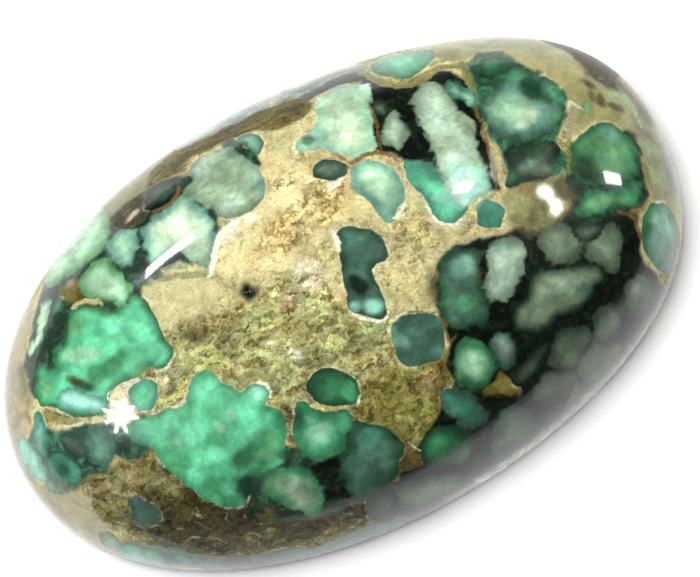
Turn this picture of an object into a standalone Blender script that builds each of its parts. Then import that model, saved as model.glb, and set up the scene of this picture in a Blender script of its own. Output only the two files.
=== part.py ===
"""An oval variscite cabochon: one stone with a polished dome, a rounded edge, a small bevel and a flat back.

Metres, +Z up. The long axis is along X, and the flat back rests on z = 0.
"""

import math

import bmesh
import bpy

LENGTH = 0.0340
WIDTH = 0.0210
BEVEL = 0.0006
EDGE_HEIGHT = 0.0009
DOME_RISE = 0.0070
DOME_FULLNESS = 2.3

# The outline isn't a plain ellipse: hand grinding left it a little square and a little lopsided.
# Each line is the number of swells round the stone, their size as a share of the radius, and the
# angle that turns them.
OUTLINE_SWELLS = (
    (3, 0.0062, 79.4),
    (4, 0.0138, 163.2),
    (5, 0.0051, 160.9),
    (6, 0.0028, 168.9),
)

# The dome keeps a few broad, shallow swells from polishing by hand: size, length, direction, start.
POLISH_SWELLS = (
    (0.000060, 0.0170, 20.0, 0.6),
    (0.000045, 0.0120, 115.0, 2.1),
    (0.000030, 0.0085, 65.0, 4.0),
)

POINTS_ROUND = 112
DOME_RINGS = 20

STONE_COLOUR = (0.20, 0.33, 0.20, 1.0)
STONE_ROUGHNESS = 0.22


def clear_scene():
    for obj in list(bpy.data.objects):
        bpy.data.objects.remove(obj, do_unlink=True)


def outline_reach(angle):
    """How far the outline lies from the plain ellipse at this angle, as a share of its radius."""
    reach = 1.0
    for count, share, turn in OUTLINE_SWELLS:
        reach += share * math.cos(count * angle - math.radians(turn))
    return reach


def outline_points():
    """The outline seen from above, fitted to the length and the width, and centred on the origin."""
    points = []
    for i in range(POINTS_ROUND):
        angle = 2 * math.pi * i / POINTS_ROUND
        reach = outline_reach(angle)
        points.append((LENGTH * reach * math.cos(angle), WIDTH * reach * math.sin(angle)))
    low_x, high_x = min(x for x, _ in points), max(x for x, _ in points)
    low_y, high_y = min(y for _, y in points), max(y for _, y in points)
    scale_x = LENGTH / (high_x - low_x)
    scale_y = WIDTH / (high_y - low_y)
    mid_x = (low_x + high_x) / 2
    mid_y = (low_y + high_y) / 2
    return [((x - mid_x) * scale_x, (y - mid_y) * scale_y) for x, y in points]


def polish_swell(x, y):
    height = 0.0
    for size, length, direction, start in POLISH_SWELLS:
        turn = math.radians(direction)
        along = x * math.cos(turn) + y * math.sin(turn)
        height += size * math.sin(2 * math.pi * along / length + start)
    return height


def rings_of_dome(outline):
    """Rings of points from just under the top of the dome down to the edge."""
    rings = []
    for step in range(1, DOME_RINGS + 1):
        turn = math.pi / 2 * step / DOME_RINGS
        spread = math.sin(turn) ** (2 / DOME_FULLNESS)
        rise = math.cos(turn)
        ring = []
        for x, y in outline:
            at_x, at_y = x * spread, y * spread
            z = EDGE_HEIGHT + DOME_RISE * rise + polish_swell(at_x, at_y) * rise
            ring.append((at_x, at_y, z))
        rings.append(ring)
    return rings


def rings_of_edge(outline):
    """The short upright wall and the bevel that leads to the flat back."""
    wall_foot = [(x, y, BEVEL) for x, y in outline]
    back_rim = []
    for x, y in outline:
        shrink = 1 - BEVEL / math.hypot(x, y)
        back_rim.append((x * shrink, y * shrink, 0.0))
    return [wall_foot, back_rim]


def stone_mesh():
    outline = outline_points()
    rings = rings_of_dome(outline) + rings_of_edge(outline)
    shape = bmesh.new()
    top = shape.verts.new((0.0, 0.0, EDGE_HEIGHT + DOME_RISE + polish_swell(0.0, 0.0)))
    loops = [[shape.verts.new(point) for point in ring] for ring in rings]
    for i in range(POINTS_ROUND):
        after = (i + 1) % POINTS_ROUND
        shape.faces.new((top, loops[0][i], loops[0][after]))
        for upper, lower in zip(loops, loops[1:]):
            shape.faces.new((upper[i], lower[i], lower[after], upper[after]))
    shape.faces.new(list(reversed(loops[-1])))
    bmesh.ops.recalc_face_normals(shape, faces=shape.faces)
    mesh = bpy.data.meshes.new("variscite_cabochon")
    shape.to_mesh(mesh)
    shape.free()
    return mesh


def stone_material():
    material = bpy.data.materials.new("polished_variscite")
    material.use_nodes = True
    surface = material.node_tree.nodes["Principled BSDF"]
    surface.inputs["Base Color"].default_value = STONE_COLOUR
    surface.inputs["Roughness"].default_value = STONE_ROUGHNESS
    surface.inputs["IOR"].default_value = 1.57
    material.diffuse_color = STONE_COLOUR
    return material


def build_stone():
    mesh = stone_mesh()
    mesh.materials.append(stone_material())
    stone = bpy.data.objects.new("variscite_cabochon", mesh)
    bpy.context.scene.collection.objects.link(stone)
    mesh.shade_smooth()
    mesh.set_sharp_from_angle(angle=math.radians(30))
    return stone


clear_scene()
build_stone()
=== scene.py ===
"""An oval variscite cabochon: green nodules in sandy and black matrix under a polished dome, on white paper.

The stone's skin is one mesh. Its markings are drawn as outlines, spots and veins in millimetres on the
face laid flat: a place on the dome is known by its direction from the top and by its distance from the
top along the surface.
"""

import math

import bpy
import numpy as np
from mathutils import Matrix, Vector


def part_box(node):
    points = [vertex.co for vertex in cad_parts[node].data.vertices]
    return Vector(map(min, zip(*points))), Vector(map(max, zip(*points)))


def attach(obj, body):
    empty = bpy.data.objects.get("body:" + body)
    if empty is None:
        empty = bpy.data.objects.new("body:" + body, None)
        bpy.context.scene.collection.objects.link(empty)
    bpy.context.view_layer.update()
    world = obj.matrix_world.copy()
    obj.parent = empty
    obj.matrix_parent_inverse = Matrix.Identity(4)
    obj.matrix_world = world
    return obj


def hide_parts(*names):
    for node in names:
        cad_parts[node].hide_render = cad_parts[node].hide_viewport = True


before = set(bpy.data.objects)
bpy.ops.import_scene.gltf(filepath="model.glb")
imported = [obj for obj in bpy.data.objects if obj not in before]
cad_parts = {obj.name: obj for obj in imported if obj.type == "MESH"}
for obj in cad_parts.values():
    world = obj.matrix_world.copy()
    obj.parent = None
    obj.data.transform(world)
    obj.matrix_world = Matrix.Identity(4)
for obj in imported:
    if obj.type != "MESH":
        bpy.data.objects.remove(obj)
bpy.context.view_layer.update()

bl_info = {
    "name": "Variscite cabochon",
    "version": (1, 0, 0),
    "blender": (4, 5, 0),
    "location": "3D Viewport > Sidebar > Stone",
    "description": "Builds a polished variscite cabochon with nodules and matrix, and a plain white stage",
    "category": "Object",
}

NODE = "variscite_cabochon"
MM = 0.001

# The shape, in millimetres, as the solid has it.
EDGE_HEIGHT = 0.9
DOME_RISE = 7.0
DOME_FULLNESS = 2.3
# Swells of the outline off the ellipse: how many go round, how far out as a share, and where in degrees.
OUTLINE_SWELLS = (
    (3, 0.0062, 79.4),
    (4, 0.0138, 163.2),
    (5, 0.0051, 160.9),
    (6, 0.0028, 168.9),
)
# Long low waves of the hand-held polish: height, length, direction in degrees, and where they start.
POLISH_SWELLS = (
    (0.060, 17.0, 20.0, 0.6),
    (0.045, 12.0, 115.0, 2.1),
    (0.030, 8.5, 65.0, 4.0),
)
# The wall and the bevel with their corners worn round: how far in from the outline, and how high.
EDGE_PROFILE = (
    (0.0, 0.80), (0.0, 0.71), (0.012, 0.64), (0.045, 0.575), (0.11, 0.495), (0.20, 0.40),
    (0.29, 0.31), (0.38, 0.22), (0.46, 0.14), (0.53, 0.075), (0.60, 0.025), (0.70, 0.0),
)
# The skin's points: their distance on the back, how many go round the outline, and the fewest in a ring.
BACK_SPACING = 0.22
OUTLINE_STEPS = 2880
FEWEST_IN_RING = 6
# How finely the dome is worked out: steps from the top to the foot, and directions all the way round.
DOME_STEPS = 240
DIRECTIONS = 720
# How far from a place its neighbours are taken for the dome's normal there.
NORMAL_REACH = 0.2

# The drawing on the face laid flat, in millimetres.
# About the way down the wall and the bevel, beyond which the back is drawn.
EDGE_RUN = 1.25
# Where the middle of the back goes: away from everything that is drawn on the face.
FAR_OFF = 60.0
# The distance to an edge that stands for well outside it.
WELL_OUTSIDE = -3.0
# The open pit, and how far round it the surface dips.
PIT_PLACE = (-4.2, 1.45)
PIT_EDGE, PIT_FLOOR = 0.42, 0.10
# The direction, in degrees, in which the painted reflection of the white paper round the dome's foot is
# palest.
PAPER_SHEEN_FRONT = 300
# Directions, in degrees, in which the rim has few nodules besides the drawn ones.
SPARSE_RIM = ((0, 38), (150, 200), (338, 360))
# How far in from the outline the back's own nodules are set.
BACK_MARGIN = 3.2

# Relief, in millimetres: a slight waver of the polish, and how far the skin lies below the solid's.
WAVER = 0.0012
SINK = 0.0015
# The share of the grain depth that one full pit has.
PIT_SHARE = 0.4

# The light is strong enough for white paper to burn out, so colours are darker than they look in it.
OVERLIGHT = 1.22


def linear(red, green, blue):
    """The colour of a surface that looks like this, from 0 to 255, in the strong light."""
    shares = [part / 255 for part in (red, green, blue)]
    light = [s / 12.92 if s <= 0.04045 else ((s + 0.055) / 1.055) ** 2.4 for s in shares]
    return tuple(amount / OVERLIGHT for amount in light)


def tint(name, description, red, green, blue):
    return bpy.props.FloatVectorProperty(
        name=name, description=description, default=linear(red, green, blue),
        subtype="COLOR", size=3, min=0.0, max=1.0,
    )


def small_length(name, description, default, low=0.0):
    return bpy.props.FloatProperty(
        name=name, description=description, default=default, min=low,
        unit="LENGTH", subtype="DISTANCE", precision=6,
    )


class StoneShape(bpy.types.PropertyGroup):
    spacing: small_length(
        "Point spacing", "Distance between the points of the dome's skin", 0.000115, 0.00005)
    undercut: small_length(
        "Undercut", "How far the softer matrix is polished down below the nodules", 0.000008)
    grain_depth: small_length("Grain depth", "Depth of the small pits in the sandy matrix", 0.000026)
    pit_depth: small_length("Pit depth", "Depth of the one open pit near the middle of the face", 0.00026)
    seed: bpy.props.IntProperty(
        name="Seed", description="Chooses the nodules of the rim and the back", default=7, min=0,
    )


class StoneTints(bpy.types.PropertyGroup):
    mint_white: tint("Mint white", "Palest nodules", 216, 246, 206)
    mint: tint("Mint", "Pale nodules", 176, 228, 188)
    aqua: tint("Aqua", "Pale blue green parts of nodules", 160, 232, 206)
    jade_light: tint("Light jade", "Brightest green of the large nodules", 122, 224, 174)
    jade: tint("Jade", "Main green of the large nodules", 102, 204, 152)
    jade_mid: tint("Middle jade", "Deeper green of the large nodules", 82, 168, 116)
    jade_deep: tint("Deep jade", "Shaded green of the large nodules", 62, 132, 88)
    leaf: tint("Leaf green", "Yellower green", 108, 168, 114)
    moss: tint("Moss green", "Light yellow green of thin seams", 158, 192, 126)
    forest: tint("Forest green", "Dark green round nodules", 42, 84, 58)
    sage_white: tint("Sage white", "Pale grey green", 196, 224, 200)
    sage: tint("Sage", "Grey green of the fibrous nodules", 166, 192, 158)
    sage_mid: tint("Middle sage", "Middle grey green", 140, 166, 138)
    sage_grey: tint("Sage grey", "Greyer green of the nodules in the black web", 120, 142, 114)
    grey_green: tint("Grey green", "Dull nodules near the edge", 90, 108, 88)
    teal_pale: tint("Pale teal", "Pale blue green", 130, 186, 162)
    teal: tint("Teal", "Blue green nodules", 80, 150, 124)
    teal_dusk: tint("Dusky teal", "Dull blue green", 76, 114, 94)
    teal_dark: tint("Dark teal", "Dark blue green", 50, 84, 68)
    slate: tint("Slate", "Blue grey matrix", 76, 98, 88)
    web: tint("Web black", "Black matrix between nodules", 15, 23, 16)
    web_green: tint("Web green", "Dark green matrix between nodules", 34, 56, 42)
    sand_pale: tint("Pale sand", "Pale yellow matrix", 220, 210, 156)
    sand: tint("Sand", "Main sandy matrix", 198, 192, 140)
    sand_olive: tint("Olive sand", "Greener sandy matrix", 172, 175, 120)
    sand_tan: tint("Tan sand", "Browner sandy matrix", 206, 180, 122)
    olive: tint("Olive", "Olive matrix", 128, 126, 80)
    ochre: tint("Ochre", "Brown yellow matrix", 133, 133, 72)
    bronze: tint("Bronze", "Dark yellow brown matrix along the rim", 106, 98, 38)
    rust: tint("Rust", "Brown veins", 122, 92, 48)
    umber: tint("Umber", "Dark brown veins and streaks", 74, 64, 26)
    earth: tint("Earth", "Dark brown speckled matrix", 74, 72, 44)
    beige: tint("Beige", "Grey yellow matrix of the left end", 168, 160, 130)
    straw: tint("Straw", "Yellow green matrix of the right end", 166, 162, 108)
    chalk: tint("Chalk", "Whitish matrix", 224, 216, 188)
    # Along the nodules' edges this pale tint is partly a painted highlight where light catches them; in the
    # matrix it gives pale flecks.
    cream_and_glint: tint("Cream", "Bleached seams along nodules", 248, 244, 218)
    # Painted reflection: this pale tint is laid round the dome's foot, most in front, for the white paper
    # mirrored there.
    paper_sheen: tint("Paper sheen", "Dull grey skin of the unpolished girdle", 216, 216, 204)


class StageSettings(bpy.types.PropertyGroup):
    paper: bpy.props.FloatVectorProperty(
        name="Paper", description="Colour of the white paper", default=(0.94, 0.94, 0.94),
        subtype="COLOR", size=3, min=0.0, max=1.0,
    )
    ambient: bpy.props.FloatProperty(
        name="Ambient light", default=0.34, min=0.0,
        description="Strength of the even light from all round, which the polish doesn't mirror",
    )
    soft_power: bpy.props.FloatProperty(
        name="Soft light", description="Power of the large soft light overhead",
        default=2.3, min=0.0, unit="POWER",
    )
    wall_glow: bpy.props.FloatProperty(
        name="Wall glow", description="Brightness of the foot of the wall that only the polish mirrors",
        default=0.60, min=0.0,
    )
    lamp_distance: bpy.props.FloatProperty(
        name="Lamp distance", description="Distance of the small lamps from the stone",
        default=0.60, min=0.1, unit="LENGTH", subtype="DISTANCE",
    )
    camera_distance: bpy.props.FloatProperty(
        name="Camera distance", description="Distance of the camera from the stone",
        default=0.210, min=0.05, unit="LENGTH", subtype="DISTANCE",
    )


# Soft-edged areas of matrix, first to last: tint, grain from 0 to 1, softness, outline.
GROUND_AREAS = (
    ("olive_middle", "sand_olive", 1.0, 0.5, (
        (-8.9, 1.6), (-7.2, 1.5), (-5.2, 1.0), (-3.2, 1.2), (-2.2, 0.9), (-1.0, 0.2), (-0.8, -1.6),
        (-0.5, -2.4), (0.8, -2.7), (1.0, -4.2), (0.6, -5.4), (-1.8, -5.6), (-2.8, -6.2), (-4.2, -5.6),
        (-5.4, -6.2), (-6.2, -4.8), (-6.8, -3.4), (-8.4, -2.2), (-10.2, -2.4), (-12.0, -1.4), (-10.4, 0.7),
        (-9.0, 1.2))),
    ("pale_top", "sand_pale", 0.7, 0.5, (
        (-5.0, 2.4), (-4.9, 3.4), (-3.8, 4.4), (-2.2, 4.8), (-1.2, 5.2), (-0.9, 6.4), (-0.5, 7.4),
        (0.1, 8.1), (1.2, 8.2), (2.4, 8.2), (1.8, 7.3), (0.8, 6.6), (1.0, 5.6), (0.9, 4.8), (2.1, 4.0),
        (2.2, 3.0), (2.4, 2.2), (1.0, 2.1), (0.2, 1.7), (-0.8, 1.9), (-2.0, 1.5), (-3.6, 2.0))),
    ("pale_left", "sand", 0.6, 0.35, (
        (-8.5, 4.1), (-7.0, 4.1), (-5.9, 3.9), (-5.3, 3.0), (-5.0, 2.2), (-6.0, 1.7), (-7.4, 2.0),
        (-8.5, 1.9))),
    ("tongue", "ochre", 0.95, 0.3, (
        (-3.6, -6.4), (-2.5, -5.1), (-1.6, -4.7), (-0.2, -4.7), (0.6, -5.2), (1.6, -5.2), (2.7, -5.4),
        (2.7, -6.9), (1.7, -7.8), (1.1, -8.4), (0.2, -9.0), (-0.4, -9.4), (-1.1, -10.2), (-2.1, -9.4),
        (-2.5, -8.0), (-3.0, -7.4))),
    ("east_web", "web", 0.12, 0.22, (
        (2.2, -5.6), (2.7, -4.6), (2.75, -3.6), (3.2, -2.2), (4.0, -1.4), (5.3, -1.3), (6.3, -1.65),
        (7.4, -1.65), (8.2, -2.0), (9.4, -2.2), (10.4, -2.2), (10.9, -2.0), (11.5, -1.7), (12.0, -2.9),
        (13.0, -3.1), (13.9, -3.6), (13.6, -4.4), (13.5, -6.0), (14.3, -7.0), (15.4, -8.6), (13.2, -11.4),
        (9.0, -13.4), (4.0, -14.8), (-4.0, -14.8), (-5.0, -10.6), (-2.6, -9.9), (-1.9, -9.4),
        (-0.9, -8.8), (0.3, -8.0), (0.9, -7.3), (1.4, -7.1), (2.0, -6.8), (1.9, -6.1))),
    ("south_web", "web_green", 0.12, 0.25, (
        (-9.8, -7.1), (-8.8, -5.6), (-7.4, -5.2), (-6.4, -5.6), (-5.9, -5.9), (-5.5, -5.9), (-4.9, -6.5),
        (-4.1, -6.4), (-3.4, -5.9), (-2.9, -6.3), (-2.3, -6.5), (-1.9, -7.2), (-1.4, -8.4), (-1.9, -9.3),
        (-2.6, -9.9), (-4.6, -10.5), (-8.3, -9.4), (-9.2, -8.6))),
    ("south_black", "web", 0.1, 0.3, (
        (-5.9, -6.8), (-5.2, -7.0), (-4.4, -7.0), (-4.5, -7.9), (-4.6, -8.6), (-5.0, -9.4), (-5.8, -9.3),
        (-6.0, -8.6), (-5.9, -7.7))),
    ("brown_foot", "umber", 0.7, 0.25, (
        (-2.0, -9.0), (-1.5, -8.8), (-1.0, -9.1), (-1.1, -9.7), (-1.6, -9.8), (-2.0, -9.5))),
    ("amber_wedge", "bronze", 0.7, 0.15, (
        (3.1, -7.9), (3.6, -7.7), (4.1, -7.6), (4.4, -7.3), (4.6, -7.8), (4.75, -8.4), (4.7, -8.95),
        (4.3, -8.7), (3.8, -8.35), (3.3, -8.2))),
    ("speckled_left", "olive", 1.0, 0.4, (
        (-16.6, -1.9), (-14.6, -2.0), (-13.2, -2.2), (-12.4, -1.9), (-11.0, -1.9), (-10.4, -4.4),
        (-9.6, -6.0), (-9.0, -7.0), (-8.4, -8.2), (-7.4, -9.0), (-6.0, -9.6), (-4.4, -10.2), (-3.6, -12.9),
        (-8.6, -13.0), (-9.0, -10.4), (-10.8, -10.0), (-12.2, -9.0), (-13.2, -8.4), (-14.2, -7.0),
        (-15.0, -5.9), (-16.0, -4.4), (-16.8, -3.0))),
    ("speckled_dark", "earth", 1.0, 0.9, (
        (-14.3, -4.4), (-12.8, -3.9), (-11.6, -3.5), (-10.4, -4.0), (-9.4, -6.0), (-8.6, -7.8), (-7.0, -8.8),
        (-4.8, -9.6), (-4.0, -11.2), (-8.6, -10.4), (-10.8, -9.4), (-12.6, -8.2), (-14.0, -6.6),
        (-15.0, -5.3))),
    ("rim_low", "slate", 0.3, 0.4, (
        (-16.8, -5.0), (-15.4, -6.2), (-14.0, -7.5), (-12.6, -8.7), (-10.9, -9.8), (-9.2, -10.7),
        (-7.6, -11.4), (-4.6, -11.6), (-3.2, -12.4), (-3.4, -14.8), (-9.0, -14.8), (-15.0, -12.0),
        (-19.4, -7.4))),
    ("rim_left", "beige", 0.45, 0.5, (
        (-16.2, -2.2), (-15.9, -3.6), (-16.0, -4.6), (-16.6, -5.6), (-18.0, -6.6), (-20.5, -4.6),
        (-20.8, -1.2), (-18.4, -1.0), (-17.2, -1.7))),
    ("slate_left", "teal_dark", 0.2, 0.25, (
        (-17.5, 0.9), (-16.6, 1.5), (-15.8, 0.9), (-14.9, 0.45), (-14.1, 0.1), (-12.8, -0.4), (-11.6, -0.7),
        (-10.8, -1.8), (-11.2, -2.6), (-12.2, -2.6), (-12.9, -2.5), (-13.5, -1.95), (-14.2, -2.3),
        (-15.1, -2.0), (-16.2, -2.1), (-17.2, -1.9), (-17.6, -1.2), (-17.6, -0.3))),
    ("rim_far_left", "beige", 0.5, 0.5, (
        (-16.2, 2.2), (-15.4, 3.4), (-15.4, 4.8), (-14.2, 6.8), (-15.4, 9.2), (-19.0, 6.8), (-21.0, 2.0),
        (-20.8, -1.2), (-18.6, -1.0), (-17.9, 0.6), (-17.2, 1.5))),
    ("dark_upper_left", "web_green", 0.12, 0.2, (
        (-15.6, 2.6), (-15.7, 4.4), (-14.7, 5.6), (-13.6, 7.4), (-12.9, 8.8), (-11.2, 10.6), (-9.0, 10.8),
        (-8.3, 9.3), (-6.4, 9.4), (-4.4, 8.7), (-3.7, 8.2), (-3.5, 6.2), (-3.9, 4.9), (-4.5, 4.3),
        (-5.4, 3.5), (-6.0, 4.1), (-7.0, 4.45), (-8.3, 4.3), (-8.8, 3.5), (-9.5, 2.6), (-11.0, 3.0),
        (-13.0, 2.4), (-14.6, 2.0))),
    ("dark_sage_gap", "web_green", 0.12, 0.15, (
        (-1.9, 9.15), (-1.1, 9.3), (-0.85, 8.5), (-0.7, 7.5), (-0.9, 6.6), (-1.4, 6.6), (-1.7, 8.0))),
    ("left_knot", "bronze", 0.6, 0.2, (
        (-12.3, 6.6), (-11.7, 7.0), (-11.2, 6.6), (-11.1, 5.8), (-11.6, 5.4), (-12.1, 5.8))),
    ("brown_upper_left", "earth", 0.8, 0.25, (
        (-8.5, 8.9), (-8.2, 8.0), (-7.8, 7.6), (-7.6, 6.9), (-7.2, 7.2), (-6.6, 7.6), (-6.6, 8.6),
        (-6.4, 9.2), (-7.4, 9.6))),
    ("rim_top", "grey_green", 0.15, 0.3, (
        (-8.8, 9.4), (-6.6, 9.7), (-5.6, 10.0), (-4.2, 10.9), (-3.4, 10.6), (-2.0, 10.4), (-0.5, 10.2),
        (0.4, 10.3), (1.2, 10.0), (2.6, 9.8), (3.4, 9.6), (4.4, 9.8), (5.6, 9.4), (6.3, 9.0), (6.8, 10.5),
        (6.8, 15.5), (-9.5, 15.5))),
    ("brown_rim_top", "olive", 0.5, 0.5, (
        (-8.8, 9.2), (-6.7, 9.3), (-5.4, 9.4), (-4.4, 10.3), (-4.0, 11.2), (-4.6, 12.8), (-6.4, 13.6),
        (-8.6, 12.8), (-9.2, 10.9))),
    ("ochre_top", "bronze", 0.8, 0.25, (
        (-6.0, 9.3), (-4.4, 9.0), (-3.9, 9.3), (-3.0, 9.5), (-2.0, 9.3), (-1.2, 9.3), (-0.4, 8.9),
        (0.2, 8.4), (0.9, 8.2), (2.4, 8.2), (3.0, 8.6), (3.2, 9.3), (2.8, 9.8), (1.4, 10.2), (0.4, 10.5),
        (-0.5, 10.5), (-2.0, 10.8), (-3.4, 11.1), (-4.6, 11.2), (-5.8, 10.6))),
    ("dark_top_right", "web", 0.1, 0.15, (
        (3.9, 4.5), (3.8, 5.4), (4.8, 7.4), (5.4, 8.3), (6.0, 8.5), (6.6, 7.7), (7.1, 7.1), (8.0, 7.0),
        (9.3, 6.8), (9.7, 5.7), (9.3, 4.2), (8.9, 2.9), (8.5, 1.4), (8.0, 0.3), (7.2, 0.6), (6.2, 1.6),
        (5.4, 2.9), (4.9, 3.4), (4.6, 4.0))),
    ("dark_top", "web", 0.1, 0.2, (
        (2.9, 9.1), (4.2, 9.15), (5.2, 8.95), (6.0, 8.3), (6.6, 8.8), (6.3, 9.5), (5.4, 9.9), (4.4, 10.1),
        (3.2, 9.9))),
    ("right_end", "straw", 0.4, 0.35, (
        (9.6, 8.3), (10.8, 7.2), (11.9, 6.9), (12.4, 6.2), (12.6, 5.4), (13.4, 4.6), (13.6, 3.6),
        (13.4, 2.6), (12.6, 1.8), (13.0, 0.9), (14.2, 1.2), (15.2, 0.8), (15.9, 0.2), (15.8, -1.0),
        (15.2, -1.9), (14.9, -3.0), (14.0, -3.7), (14.6, -3.8), (15.4, -3.4), (16.6, -4.4), (17.4, -6.4),
        (21.0, -5.0), (22.0, 0.0), (20.5, 6.0), (17.0, 9.5), (13.0, 11.8), (10.0, 12.4))),
    ("dark_rim_right", "earth", 0.7, 0.5, (
        (15.4, 6.6), (15.8, 5.0), (15.5, 4.1), (15.7, 3.2), (16.1, 2.6), (17.0, 2.4), (17.8, 2.9),
        (18.4, 4.2), (17.6, 6.2), (16.2, 7.8))),
    ("ochre_rim_right", "ochre", 0.5, 0.4, (
        (17.0, 2.7), (17.3, 1.6), (17.3, 0.4), (18.3, 0.2), (19.4, 1.6), (18.8, 3.4), (17.8, 3.1))),
    ("moss_right", "olive", 0.3, 0.4, (
        (15.9, 0.2), (17.4, 0.1), (18.8, -0.8), (18.6, -2.6), (17.6, -3.5), (16.4, -3.6), (15.3, -3.2),
        (15.4, -2.2), (15.9, -1.2))),
    ("brown_right", "olive", 0.3, 0.5, (
        (7.9, -0.1), (8.8, 0.0), (9.6, -0.2), (10.6, -0.3), (11.6, -0.4), (12.0, -1.0), (11.4, -1.9),
        (10.6, -2.3), (9.6, -2.5), (8.6, -2.3), (7.7, -1.7), (7.8, -0.9))),
    ("green_right", "forest", 0.15, 0.2, (
        (8.8, 0.2), (9.1, 2.2), (9.1, 4.2), (9.7, 5.2), (10.2, 6.8), (12.2, 6.8), (12.7, 5.2),
        (13.5, 4.4), (13.6, 3.0), (12.8, 1.8), (11.9, 1.1), (12.0, 0.2), (11.6, -0.4), (10.2, -0.4),
        (9.0, -0.1))),
    ("dark_right", "web_green", 0.15, 0.2, (
        (11.3, -0.8), (12.0, 0.4), (13.0, 0.6), (15.9, 0.1), (15.9, -1.0), (15.3, -2.1), (15.0, -2.9),
        (14.3, -3.6), (13.0, -3.3), (11.0, -3.1), (10.4, -2.4), (11.1, -1.6))),
)

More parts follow.
